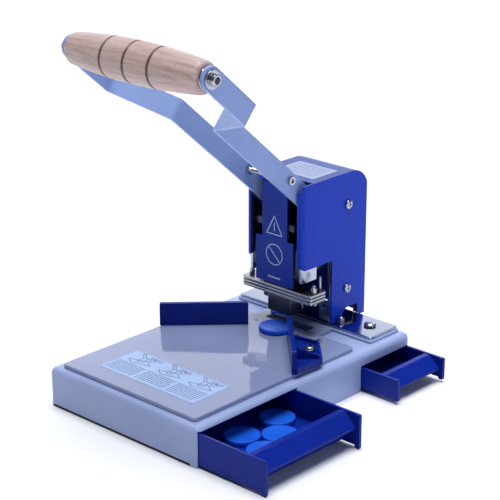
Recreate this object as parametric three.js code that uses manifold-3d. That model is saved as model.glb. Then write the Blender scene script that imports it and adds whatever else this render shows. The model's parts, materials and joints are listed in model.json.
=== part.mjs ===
// Bench-top corner rounder press: a steel base with two drawers and a glossy work table, a covered
// column with a cam and ram, a corner blade over a loose cutting mat, and a long lever with a wooden grip.
// Units are millimetres. The origin is the centre of the base's footprint on the bench, +X is the side
// the drawers open to, -Y is the operator's side and +Z is up.
import * as THREE from "three";
import { mergeVertices } from "three/addons/utils/BufferGeometryUtils.js";
import Module from "manifold-3d";

const wasm = await Module();
wasm.setup();

// ---------------------------------------------------------------- clearances
const GAP = 0.3; // between two pieces that rest on each other or face each other
const RUNNING_GAP = 0.3; // round a shaft in its hole
const SIDE_PLAY = 0.5; // beside a drawer or the ram

// ---------------------------------------------------------------- base
const BASE_WIDTH = 170;
const BASE_DEPTH = 257.8;
const BASE_HEIGHT = 33.5;
const BASE_WALL = 1.6;
const BASE_EDGE_RADIUS = 5;
const BASE_CORNER_EXTRA = 0.6; // what a vertical corner adds to the edge radius
const PAD_THICKNESS = 2;
const PAD_SETBACK_DRAWER_SIDE = 9; // leaves room for the ears of a closed drawer
const PAD_SETBACK_FAR_SIDE = 4;
const SHEET_THICKNESS = 1.6; // folded dividers and stops

// ---------------------------------------------------------------- work table and bed
const TABLE_SIDE_MARGIN = 9.5; // from the base's side to the table's
const TABLE_FRONT_MARGIN = 6.9;
const TABLE_THICKNESS = 3.2;
const TABLE_EDGE_RADIUS = 0.8;
const TABLE_CORNER_RADIUS = 3;
const NECK_WIDTH = 72; // the table's tongue that runs under the punch head
const SLOT_WIDTH = 48; // waste slot through the neck
const SLOT_DEPTH = 10.5;
const SLOT_BEHIND_APEX = 1.2;
const SLOT_CORNER = 2;
const BED_SIDE_MARGIN = 9.9;
const BED_REAR_MARGIN = 5.8;
const BED_DEPTH = 36.7;
const BED_THICKNESS = 2.1;
const BED_EDGE_RADIUS = 0.4;
const RISER_THICKNESS = 2.2;
const RISER_MARGIN = 1.6; // what the riser shows round the bed plate
const BED_CORNER_RADIUS = 2;
const BED_SCREW_FROM_END = 17.1;
const BED_SCREW_OFFSET = 2.3; // behind the bed plate's middle
const BED_SCREW_RADIUS = 2.5;
const BED_SCREW_HEAD = 5.2;
const CAP_NUT_BESIDE_COVER = 4; // from the cover's side to the nut's middle
const CAP_NUT_RADIUS = 3.3;
const CAP_NUT_HEIGHT = 5.4;
const CAP_STUD_RADIUS = 2;
const TABLE_SCREW_X = 47;
const TABLE_SCREW_RADIUS = 1.5;
const TABLE_SCREW_HEAD = 3;
const TABLE_SCREW_LENGTH = 4;
const GAUGE_HOLE_X = 24;
const GAUGE_HOLE_RADIUS = 1.3;
const TABLE_BOTTOM = BASE_HEIGHT + GAP;
const TABLE_TOP = TABLE_BOTTOM + TABLE_THICKNESS;
const RISER_TOP = TABLE_BOTTOM + RISER_THICKNESS;
const BED_TOP = RISER_TOP + GAP + BED_THICKNESS;

// The point where a paper corner stops, on the middle line; the column, ram and lever are set from it.
const APEX_FROM_REAR = 65.9;
const APEX = BASE_DEPTH / 2 - APEX_FROM_REAR;
const TABLE_REAR = APEX + 2;
const TABLE_SCREW_Y = APEX - 10;

// ---------------------------------------------------------------- drawers
const DRAWER_LENGTH = 132;
const DRAWER_WALL = 2.2;
const DRAWER_FLOOR = 2;
const EAR_DEPTH = 4.5;
const EAR_THICKNESS = 2.8;
const EAR_RADIUS = 1.4;
const RIM_DEPTH = 5; // flat top of the front
const RECESS_DEPTH = 14.5; // from the ears' front to the wall behind the finger recess
const LIP_SETBACK = 3.5;
const LIP_HEIGHT = 2.2;
const DRAWER_CLOSED_FRONT = BASE_WIDTH / 2 + 0.5;
const DRAWER_FRONT_Y = -BASE_DEPTH / 2 + BASE_WALL + SIDE_PLAY;
const LARGE_DRAWER = {
  low: DRAWER_FRONT_Y,
  width: 109.3,
  floor: 2.5,
  earDrop: 1.9, // how far an ear reaches below the side wall
  top: 28.9,
  runner: 2.7,
  lipDrop: 10,
  pulledOut: 66.5,
};
const SMALL_DRAWER = {
  low: APEX + 0.5,
  width: 63.5,
  floor: 3.8,
  earDrop: 1.4,
  top: 21.6,
  runner: 1,
  lipDrop: 8.4,
  pulledOut: 38,
};
const BAY_HEADROOM = 1.4;
const STOP_BELOW_DRAWER = 6; // a stop's top is this far below its drawer's rim
const STOP_FOOT = 12;
const DIVIDER_FOOT = 14;

// ---------------------------------------------------------------- loose mats
const MAT_RADIUS = 14.7;
const MAT_THICKNESS = 4;
const MAT_EDGE = 0.8;
const MAT_PLACE = [3, APEX - 14.4]; // on the table, under the blade
const SPARE_MAT_PLAY_FRONT = 7.1; // between the foremost spare and the drawer's front
const SPARE_MAT_PLAY_SIDE = 2; // between the rearmost spare and the drawer's side
const SPARE_MATS = [[-1.02, -1.43], [-1.085, 0], [-0.33, -0.7], [0, -1.655]]; // in mat widths from those two

// ---------------------------------------------------------------- fences
const FENCE_START = 22; // half-width of the gap at the apex
const FENCE_END = 75.5;
const FENCE_WALL = 3.6;
const FENCE_HEIGHT = 20;
const FENCE_CORNER = 1.6;
const FENCE_FOOT_THICKNESS = 2.2;
const FENCE_RIM = 2.4;
const FENCE_RIM_HEIGHT = 5;
const FENCE_FOOT_REACH = 26; // how far the foot reaches behind the paper face
const FENCE_FOOT_END = 4.5;
const FENCE_FOOT_TAPER = 20; // what the foot's rear edge is shorter by, at each end
const FENCE_RIB_ALONG = 48;
const FENCE_RIB_THICKNESS = 2;
const FENCE_RIB_HEIGHT = 14;
const FENCE_SCREW_ALONG = 33; // from the wall's start, along the wall
const FENCE_SCREW_BEHIND = 17; // behind the paper face
const FENCE_SCREW_RADIUS = 2;
const FENCE_SCREW_HEAD = 3.6;
const FENCE_SEAT_RADIUS = 5.2;
const FENCE_SEAT_HEIGHT = 1; // above the foot
const FENCE_WASHER_RADIUS = 4.8;
const FENCE_WASHER_THICKNESS = 1.2;

// ---------------------------------------------------------------- column
const COVER_WIDTH = 62.6;
const COVER_FRONT = APEX - 15;
const COVER_REAR = APEX + 70;
const COVER_TOP = TABLE_TOP + 132.8;
const COVER_WALL = 1.4;
const COVER_REAR_RADIUS = 21;
const COVER_FRONT_RADIUS = 5;
const COVER_TOP_EDGE = 1.6;
const COVER_FLANGE = 5.2; // how far each front flange wraps in
const COVER_WING_BOTTOM = TABLE_TOP + 59;
const COVER_WING_RADIUS = 6;
const COVER_LEG_FRONT = APEX + 24.5;
const COVER_SLOT_DEPTH = 14.5; // lever slots in the top
const COVER_TONGUE_HALF = 16.7; // what stays of the top between them
const ARCH_FRONT = APEX + 39;
const ARCH_REAR = APEX + 59;
const ARCH_TOP = TABLE_TOP + 11;
const ARCH_CORNER = 7;
const COVER_SCREW_Y = APEX + 44;
const COVER_SCREW_HEIGHTS = [TABLE_TOP + 29, TABLE_TOP + 104.6];
const COVER_SCREW_RADIUS = 2;
const COVER_SCREW_HEAD = 4;
const COVER_SCREW_LENGTH = 6;
const FRAME_THICKNESS = 3;
const FRAME_BEHIND_FLANGE = 1.6; // clear of the rounding inside the flange
const FRAME_REAR = COVER_REAR - 4;
const FRAME_REAR_RADIUS = 14;
const FRAME_TOP_BELOW_COVER = 4;
const FRAME_BESIDE_ARM = 1.3;
const FRAME_NOSE_REAR = APEX + 7;
const FRAME_NOSE_RISE = 14; // from the nose's underside to the throat's roof
const FRAME_LEG_FRONT = APEX + 25.3;
const FRAME_FLANGE = 9.5;
const FRAME_FLANGE_HEIGHT = 18;
const FRAME_FLANGE_HOLE_BELOW_TOP = 4;
const FRAME_FLANGE_HOLE_RADIUS = 2;
const FRAME_FOOT_REAR = APEX + 37.5;
const FRAME_ARCH_MARGIN = 0.8; // what the frame's arch is larger by than the cover's
const THROAT_TOP = TABLE_TOP + 47;
const STAY_RADIUS = 4;
const STAY_Y = APEX + 55;
const STAY_Z = TABLE_TOP + 63;

// ---------------------------------------------------------------- ram and head
const RAM_HALF = 14;
const RAM_FRONT = APEX - 12;
const RAM_REAR = APEX + 8;
const RAM_COVER_THICKNESS = 1.5;
const RAM_COVER_WIDE_HALF = 21;
const RAM_COVER_STEP = TABLE_TOP + 81;
const RAM_COVER_BOTTOM = TABLE_TOP + 41;
const RAM_COVER_TOP = COVER_TOP - 2.4;
const HEAD_HALF = 39;
const HEAD_DEPTH = 21;
const HEAD_PLATE = 2.4;
const HEAD_PLATE_GAP = 0.6;
const HEAD_TOP = TABLE_TOP + 38.6;
const HEAD_CORNER = 3;
const HEAD_BOLT_X = 35;
const HEAD_BOLT_BEHIND = 9; // behind the head's front edge
const HEAD_BOLT_RADIUS = 1.6;
const HEAD_BOLT_RISE = 7;
const HEAD_BOLT_CAP = 2.2; // thickness of its head, under the punch plate
const HEAD_NUT_RADIUS = 2.6;
const HEAD_NUT_HEIGHT = 4.2;
const HEAD_PIN_X = 33.5;
const HEAD_PIN_BEHIND = 18.6;
const HEAD_PIN_RADIUS = 0.9;
const HEAD_PIN_RISE = 12;
const HOLDER_HALF = 12.5;
const HOLDER_FRONT = APEX - 8.5;
const HOLDER_REAR = APEX + 8.5;
const HOLDER_CORNER = 1.5;
const STROKE = 5.1;
const BLADE_RADIUS = 9; // of the rounded paper corner
const BLADE_THICKNESS = 1.4;
const BLADE_TAIL = 3;
const BLADE_SHOWS = 3.3; // below the holder
const GUIDE_BOTTOM = TABLE_TOP + 53;
const GUIDE_TOP = TABLE_TOP + 76;
const GUIDE_REAR = APEX + 21;
const RAM_YOKE_HALF = 20.5;
const RAM_YOKE_BOTTOM = TABLE_TOP + 90.5;
const SPRING_X = 17.4;
const SPRING_Y = APEX + 1;
const SPRING_COIL = 2.1;
const SPRING_WIRE = 0.5;
const SPRING_TURNS = 5;

// ---------------------------------------------------------------- lever
const LEVER_ANGLE = THREE.MathUtils.degToRad(40.8); // above the horizontal, at rest
const PIVOT_Y = APEX + 10.1;
const PIVOT_Z = TABLE_TOP + 107.4;
const PIVOT_RADIUS = 6;
const ARM_THICKNESS = 3;
const ARM_ABOVE = 9.8; // edges of the strip, from the line through pivot and grip
const ARM_BELOW = 8.6;
const ARM_INNER_HALF = 24.7; // outer face of an arm in the column
const ARM_OUTER_HALF = 75.6; // outer face of an arm at the grip
const ARM_CROSS_BOLT = 45; // distances from the pivot, along the lever
const ARM_INNER_FOLD = 149;
const ARM_OUTER_FOLD = 176;
const ARM_GRIP = 230.4;
const ARM_SHARP_BEND = 2; // a fold's radius inside and outside
const ARM_WIDE_BEND = 5;
const CROSS_BOLT_ABOVE = 3;
const CROSS_BOLT_RADIUS = 2.5;
const CROSS_BOLT_HEAD = 3.5;
const CROSS_BOLT_HEAD_HEIGHT = 2.2;
const CROSS_BOLT_SOCKET = 1.6;
const CROSS_NUT_RADIUS = 4.4;
const CROSS_NUT_HEIGHT = 3;
const CAM_RADIUS = 13;
const CAM_THROW = 7.5;
const CAM_HALF = 9;
const HUB_RADIUS = 9.5;
const CAM_RISE = THREE.MathUtils.degToRad(20); // of the cam's centre above the pivot, at rest

// ---------------------------------------------------------------- grip
const GRIP_ROD_RADIUS = 4;
const GRIP_END_RADIUS = 12.6;
const GRIP_MIDDLE_RADIUS = 16.8;
const GRIP_END_ROUND = 4;
const GRIP_GROOVES = [-25.5, 0, 25.5];
const GRIP_GROOVE_DEPTH = 0.6;
const GRIP_GROOVE_WIDTH = 1.8;
const GRIP_WASHER_RADIUS = 9;
const GRIP_WASHER_THICKNESS = 1.6;
const GRIP_BOLT_RADIUS = 2.2;
const GRIP_BOLT_LENGTH = 8; // inside the rod
const GRIP_BOLT_HEAD = 4.6;
const GRIP_BOLT_HEAD_HEIGHT = 4.2;
const GRIP_BOLT_SOCKET = 2.4;
const GRIP_BOLT_SOCKET_FLOOR = 1.6; // above the bolt's washer
const GRIP_END_WASHER_RADIUS = 7.5;
const GRIP_END_WASHER_THICKNESS = 1.4;

// ---------------------------------------------------------------- materials
const finish = (color, roughness, metalness) => ({ color, roughness, metalness });
const PALE_PAINT = finish(0x9fabcf, 0.45, 0.1);
const GLOSS_PAINT = finish(0xa8b3cc, 0.12, 0.1);
const BLUE_PAINT = finish(0x2240b4, 0.4, 0.1);
const NAVY_PAINT = finish(0x1c2c86, 0.45, 0.1);
const NAVY_PLASTIC = finish(0x1a2a8c, 0.35, 0);
const MAT_PLASTIC = finish(0x1f5cd8, 0.35, 0);
const BLACK_RUBBER = finish(0x14151a, 0.85, 0);
const POLISHED_STEEL = finish(0xc9ccd2, 0.12, 1);
const PLATED_STEEL = finish(0xb4b6bc, 0.3, 1);
const DARK_STEEL = finish(0x3b3a40, 0.35, 1);
const BEECH = finish(0xc8ab92, 0.5, 0);

// ---------------------------------------------------------------- solids
const CIRCLE_SIDES = 24;
const SMALL_SIDES = 16; // round a small hole
const CORNER_STEPS = 4;
const COVER_STEPS = 6; // along the cover's large rear bend
const FAR = 400; // past every piece

// A closed geometry as a manifold-3d solid.
function solidOf(geometry) {
  geometry.deleteAttribute("normal");
  geometry.deleteAttribute("uv");
  const merged = mergeVertices(geometry, 1e-4);
  const vertProperties = new Float32Array(merged.attributes.position.array);
  const triVerts = new Uint32Array(merged.index.array);
  return new wasm.Manifold(new wasm.Mesh({ numProp: 3, vertProperties, triVerts }));
}

// A rectangular block between two values on each axis.
function block([x0, x1], [y0, y1], [z0, z1]) {
  const geometry = new THREE.BoxGeometry(x1 - x0, y1 - y0, z1 - z0);
  geometry.translate((x0 + x1) / 2, (y0 + y1) / 2, (z0 + z1) / 2);
  return solidOf(geometry);
}

// A closed outline of straight sides, each corner given as [x, y, corner radius].
function outline(corners) {
  const shape = new THREE.Shape();
  corners.forEach(([x, y, radius = 0], i) => {
    const corner = new THREE.Vector2(x, y);
    const before = new THREE.Vector2(...corners.at(i - 1)).sub(corner).normalize();
    const after = new THREE.Vector2(...corners[(i + 1) % corners.length]).sub(corner).normalize();
    if (radius === 0) {
      if (i === 0) shape.moveTo(x, y);
      else shape.lineTo(x, y);
      return;
    }
    const half = Math.acos(THREE.MathUtils.clamp(before.dot(after), -1, 1)) / 2;
    const start = before.clone().multiplyScalar(radius / Math.tan(half)).add(corner);
    const end = after.clone().multiplyScalar(radius / Math.tan(half)).add(corner);
    const centre = before.clone().add(after).normalize();
    centre.multiplyScalar(radius / Math.sin(half)).add(corner);
    const from = start.clone().sub(centre).angle();
    const to = end.clone().sub(centre).angle();
    if (i === 0) shape.moveTo(start.x, start.y);
    else shape.lineTo(start.x, start.y);
    shape.absarc(centre.x, centre.y, radius, from, to, before.cross(after) > 0);
  });
  shape.closePath();
  return shape;
}

// Two distances from the middle line as a range on one side of it.
function span(side, a, b) {
  return [side * a, side * b].sort((m, n) => m - n);
}

// The outline of a rectangle with all corners of one radius.
function rectangle([x0, x1], [y0, y1], radius = 0) {
  return outline([[x0, y0, radius], [x1, y0, radius], [x1, y1, radius], [x0, y1, radius]]);
}

const AXIS_X = new THREE.Vector3(1, 0, 0);
const AXIS_Y = new THREE.Vector3(0, 1, 0);
const AXIS_Z = new THREE.Vector3(0, 0, 1);

// An outline pushed along an axis: drawn in XY for axis z, in XZ for axis y and in YZ for axis x.
function prism(shape, axis, [from, to], steps = CORNER_STEPS) {
  const depth = to - from;
  const options = { depth, bevelEnabled: false, curveSegments: steps };
  const geometry = new THREE.ExtrudeGeometry(shape, options);
  if (axis === "x") {
    geometry.applyMatrix4(new THREE.Matrix4().makeBasis(AXIS_Y, AXIS_Z, AXIS_X));
    geometry.translate(from, 0, 0);
  } else if (axis === "y") {
    const away = AXIS_Y.clone().negate();
    geometry.applyMatrix4(new THREE.Matrix4().makeBasis(AXIS_X, AXIS_Z, away));
    geometry.translate(0, to, 0);
  } else {
    geometry.translate(0, 0, from);
  }
  return solidOf(geometry);
}

// A slab of any outline whose top edge is rounded; its underside is cut flat at z0.
function slab(shape, [z0, z1], edge) {
  const geometry = new THREE.ExtrudeGeometry(shape, {
    depth: z1 - z0,
    bevelThickness: edge,
    bevelSize: edge,
    bevelOffset: -edge,
    bevelSegments: 3,
    curveSegments: 2,
  });
  geometry.translate(0, 0, z0 - edge);
  const below = block([-FAR, FAR], [-FAR, FAR], [z0 - 2 * edge - 1, z0]);
  return solidOf(geometry).subtract(below);
}

// Turns a lathe profile, [radius, height] pairs, to stand along an axis from a point.
function turned(profile, axis, [x, y, z], sides = CIRCLE_SIDES) {
  const points = profile.map(([radius, height]) => new THREE.Vector2(radius, height));
  const geometry = new THREE.LatheGeometry(points, sides);
  if (axis === "x") geometry.rotateZ(-Math.PI / 2);
  if (axis === "z") geometry.rotateX(Math.PI / 2);
  geometry.translate(x, y, z);
  return solidOf(geometry);
}

// A plain round rod between two values on its axis; centre holds the other two coordinates.
function rod(radius, axis, [from, to], [a, b], sides = CIRCLE_SIDES) {
  const start = { x: [from, a, b], y: [a, from, b], z: [a, b, from] }[axis];
  return turned([[0, 0], [radius, 0], [radius, to - from], [0, to - from]], axis, start, sides);
}

// A pan head screw whose head's underside is at the point and points along the axis's positive side.
function panScrew(shank, head, length, axis, point, towards = 1) {
  const height = head * 0.55;
  const profile = [
    [0, -length],
    [shank, -length],
    [shank, 0],
    [head, 0],
    [head, height * 0.45],
    [head * 0.82, height * 0.86],
    [head * 0.5, height],
    [0, height],
  ];
  const points = profile.map(([radius, h]) => new THREE.Vector2(radius, h));
  const geometry = new THREE.LatheGeometry(points, 24);
  if (axis === "x") geometry.rotateZ(-towards * Math.PI / 2);
  if (axis === "z") geometry.rotateX(towards * Math.PI / 2);
  geometry.translate(...point);
  const cross = [0, Math.PI / 2].map((turn) => {
    const slot = new THREE.BoxGeometry(head * 1.1, height * 0.9, head * 0.22);
    slot.translate(0, height, 0);
    slot.rotateY(turn);
    if (axis === "x") slot.rotateZ(-towards * Math.PI / 2);
    if (axis === "z") slot.rotateX(towards * Math.PI / 2);
    slot.translate(...point);
    return solidOf(slot);
  });
  return solidOf(geometry).subtract(cross[0]).subtract(cross[1]);
}

// A hexagonal cap nut with a round dome, on its stud; its underside is at the point.
function capNut(length, point) {
  const hexagon = CAP_NUT_HEIGHT * 0.5;
  const dome = CAP_NUT_RADIUS * 0.82;
  const profile = [[0, -length], [CAP_STUD_RADIUS, -length], [CAP_STUD_RADIUS, 0], [dome, 0]];
  for (let i = 0; i <= 4; i++) {
    const turn = (i / 4) * Math.PI / 2;
    profile.push([dome * Math.cos(turn), hexagon + (CAP_NUT_HEIGHT - hexagon) * Math.sin(turn)]);
  }
  const [x, y, z] = point;
  return turned(profile, "z", point).add(rod(CAP_NUT_RADIUS, "z", [z, z + hexagon], [x, y], 6));
}

// Adds one named mesh to a group.
function add(group, name, surface, solid) {
  const made = solid.getMesh();
  const geometry = new THREE.BufferGeometry();
  geometry.setAttribute("position", new THREE.BufferAttribute(made.vertProperties, 3));
  geometry.setIndex(new THREE.BufferAttribute(made.triVerts, 1));
  geometry.computeVertexNormals();
  const mesh = new THREE.Mesh(geometry, new THREE.MeshStandardMaterial(surface));
  mesh.name = name;
  group.add(mesh);
  return mesh;
}

const press = new THREE.Group();

// The same rod-shaped hole at both sides of the middle line.
function bothSides(make) {
  return make(1).add(make(-1));
}

// ---------------------------------------------------------------- places worked out from the sizes
const HALF_WIDTH = BASE_WIDTH / 2;
const HALF_DEPTH = BASE_DEPTH / 2;
const TABLE_HALF = HALF_WIDTH - TABLE_SIDE_MARGIN;
const BED_HALF = HALF_WIDTH - BED_SIDE_MARGIN;
const BED_REAR = HALF_DEPTH - BED_REAR_MARGIN;
const BED_FRONT = BED_REAR - BED_DEPTH;
const RISER_FRONT = BED_FRONT - RISER_MARGIN;
const BED_SCREW_X = BED_HALF - BED_SCREW_FROM_END;
const BED_SCREW_Y = (BED_FRONT + BED_REAR) / 2 + BED_SCREW_OFFSET;
const CAP_NUT_X = COVER_WIDTH / 2 + CAP_NUT_BESIDE_COVER;
const CAP_NUT_Y = BED_FRONT + 9.6;
const COLUMN_BOTTOM = BED_TOP + GAP;
const MAT_TOP = TABLE_TOP + GAP + MAT_THICKNESS;
const BLADE_BOTTOM = MAT_TOP + GAP + STROKE;
const HOLDER_BOTTOM = BLADE_BOTTOM + BLADE_SHOWS + GAP;
const FENCE_AT = FENCE_START * Math.SQRT2; // along the wall from the apex
const FENCE_TO = FENCE_END * Math.SQRT2;
const ARM_INNER_FACE = ARM_INNER_HALF - ARM_THICKNESS;
const FRAME_INNER = ARM_INNER_HALF + FRAME_BESIDE_ARM;

// Where the fence's screw stands on the table, for one side.
function fenceScrewPlace(side) {
  const along = (FENCE_AT + FENCE_SCREW_ALONG) / Math.SQRT2;
  const behind = FENCE_SCREW_BEHIND / Math.SQRT2;
  return [side * (along + behind), APEX - along + behind];
}

// ---------------------------------------------------------------- base shell and pad
function bayOf(drawer) {
  const inside = HALF_DEPTH - BASE_WALL;
  const low = Math.max(drawer.low - SIDE_PLAY, -inside);
  const high = Math.min(drawer.low + drawer.width + SIDE_PLAY, inside);
  return block([HALF_WIDTH - 3 * BASE_WALL, FAR], [low, high], [-1, drawer.top + BAY_HEADROOM]);
}

const THROUGH_TOP = [BASE_HEIGHT - 5, BED_TOP + 5]; // right through the base's top and what lies on it

function wasteSlot() {
  const front = APEX + SLOT_BEHIND_APEX;
  const shape = rectangle([-SLOT_WIDTH / 2, SLOT_WIDTH / 2], [front, front + SLOT_DEPTH], SLOT_CORNER);
  return prism(shape, "z", THROUGH_TOP);
}

// The screws that stand in the table and the bed, as upright holes through everything below.
function uprightHoles() {
  const places = [
    [TABLE_SCREW_X, TABLE_SCREW_Y, TABLE_SCREW_RADIUS],
    [BED_SCREW_X, BED_SCREW_Y, BED_SCREW_RADIUS],
    [CAP_NUT_X, CAP_NUT_Y, CAP_STUD_RADIUS],
    [...fenceScrewPlace(1), FENCE_SCREW_RADIUS],
  ];
  const holes = places.flatMap(([x, y, radius]) =>
    [x, -x].map((at) => rod(radius + RUNNING_GAP, "z", THROUGH_TOP, [at, y], SMALL_SIDES)),
  );
  return holes.reduce((all, hole) => all.add(hole));
}

function makeBase() {
  const group = new THREE.Group();
  const top = BASE_HEIGHT - BASE_WALL;
  const round = BASE_EDGE_RADIUS + BASE_CORNER_EXTRA;
  const outside = rectangle([-HALF_WIDTH, HALF_WIDTH], [-HALF_DEPTH, HALF_DEPTH], round);
  const insideX = [-HALF_WIDTH + BASE_WALL, HALF_WIDTH - BASE_WALL];
  const insideY = [-HALF_DEPTH + BASE_WALL, HALF_DEPTH - BASE_WALL];
  const inside = rectangle(insideX, insideY, round - BASE_WALL);
  const padX = [-HALF_WIDTH + PAD_SETBACK_FAR_SIDE, HALF_WIDTH - PAD_SETBACK_DRAWER_SIDE];
  const padFront = -HALF_DEPTH + GAP;
  const notchX = [padX[0] - GAP, padX[1] + GAP];
  const notch = block(notchX, [-FAR, insideY[0] + 1], [-1, PAD_THICKNESS + GAP]);
  const shell = slab(outside, [0, BASE_HEIGHT], BASE_EDGE_RADIUS)
    .subtract(slab(inside, [-1, top], BASE_EDGE_RADIUS - BASE_WALL))
    .subtract(bayOf(LARGE_DRAWER))
    .subtract(bayOf(SMALL_DRAWER))
    .subtract(notch)
    .subtract(wasteSlot())
    .subtract(uprightHoles());
  add(group, "base_shell", PALE_PAINT, shell);
  const pad = block(padX, [padFront, insideY[1] - GAP], [0, PAD_THICKNESS]);
  add(group, "base_pad", BLACK_RUBBER, pad);

  // A folded strip: a web standing on a foot, drawn across and pushed along one axis.
  const footBottom = PAD_THICKNESS + GAP;
  const strip = (web, height, footTo, axis, range) => {
    const sheet = footTo > 0 ? SHEET_THICKNESS : -SHEET_THICKNESS;
    const corners = [
      [web, footBottom],
      [web + footTo, footBottom],
      [web + footTo, footBottom + SHEET_THICKNESS],
      [web + sheet, footBottom + SHEET_THICKNESS],
      [web + sheet, height],
      [web, height],
    ];
    return prism(outline(corners), axis, range);
  };
  const along = [-HALF_WIDTH + round + 1, HALF_WIDTH - round - 1];
  const frontWeb = LARGE_DRAWER.low + LARGE_DRAWER.width + SIDE_PLAY;
  const rearWeb = SMALL_DRAWER.low - SIDE_PLAY;
  const webTop = top - GAP;
  add(group, "drawer_divider_front", PALE_PAINT, strip(frontWeb, webTop, DIVIDER_FOOT, "x", along));
  add(group, "drawer_divider_rear", PALE_PAINT, strip(rearWeb, webTop, -DIVIDER_FOOT, "x", along));
  const back = DRAWER_CLOSED_FRONT - DRAWER_LENGTH - SIDE_PLAY;
  for (const [name, drawer] of [["large", LARGE_DRAWER], ["small", SMALL_DRAWER]]) {
    const range = [drawer.low, drawer.low + drawer.width];
    const stop = strip(back, drawer.top - STOP_BELOW_DRAWER, -STOP_FOOT, "y", range);
    add(group, name + "_drawer_stop", PALE_PAINT, stop);
  }
  return group;
}

// ---------------------------------------------------------------- table, bed and their screws
function makeTop() {
  const group = new THREE.Group();
  const half = TABLE_HALF;
  const front = -HALF_DEPTH + TABLE_FRONT_MARGIN;
  const neck = NECK_WIDTH / 2;
  const neckRear = RISER_FRONT - 2 * GAP;
  const r = TABLE_CORNER_RADIUS;
  const tableShape = outline([
    [-half, front, r],
    [half, front, r],
    [half, TABLE_REAR, r],
    [neck, TABLE_REAR, r],
    [neck, neckRear, 1],
    [-neck, neckRear, 1],
    [-neck, TABLE_REAR, r],
    [-half, TABLE_REAR, r],
  ]);
  const holes = uprightHoles();
  const table = slab(tableShape, [TABLE_BOTTOM, TABLE_TOP], TABLE_EDGE_RADIUS);
  const gauge = bothSides((side) =>
    rod(GAUGE_HOLE_RADIUS, "z", THROUGH_TOP, [side * GAUGE_HOLE_X, TABLE_SCREW_Y], SMALL_SIDES),
  );
  add(group, "work_table", GLOSS_PAINT, table.subtract(wasteSlot()).subtract(holes).subtract(gauge));

  const riserX = BED_HALF + RISER_MARGIN;
  const riserY = [RISER_FRONT, BED_REAR + RISER_MARGIN];
  const riserShape = rectangle([-riserX, riserX], riserY, BED_CORNER_RADIUS + RISER_MARGIN);
  const bedShape = rectangle([-BED_HALF, BED_HALF], [BED_FRONT, BED_REAR], BED_CORNER_RADIUS);
  const riser = slab(riserShape, [TABLE_BOTTOM, RISER_TOP], TABLE_EDGE_RADIUS);
  const bed = slab(bedShape, [RISER_TOP + GAP, BED_TOP], BED_EDGE_RADIUS);
  add(group, "bed_riser", PALE_PAINT, riser.subtract(holes));
  add(group, "bed_plate", POLISHED_STEEL, bed.subtract(holes));

  for (const [side, word] of [[1, "right"], [-1, "left"]]) {
    const length = BED_TOP - BASE_HEIGHT + BASE_WALL;
    const bedAt = [side * BED_SCREW_X, BED_SCREW_Y, BED_TOP + GAP];
    const capAt = [side * CAP_NUT_X, CAP_NUT_Y, BED_TOP + GAP];
    const tableAt = [side * TABLE_SCREW_X, TABLE_SCREW_Y, TABLE_TOP + GAP];
    const bedScrew = panScrew(BED_SCREW_RADIUS, BED_SCREW_HEAD, length, "z", bedAt);
    const tableScrew = panScrew(TABLE_SCREW_RADIUS, TABLE_SCREW_HEAD, TABLE_SCREW_LENGTH, "z", tableAt);
    add(group, "bed_screw_" + word, PLATED_STEEL, bedScrew);
    add(group, "cap_screw_" + word, PLATED_STEEL, capNut(length, capAt));
    add(group, "table_screw_" + word, PLATED_STEEL, tableScrew);
  }
  return group;
}

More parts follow.
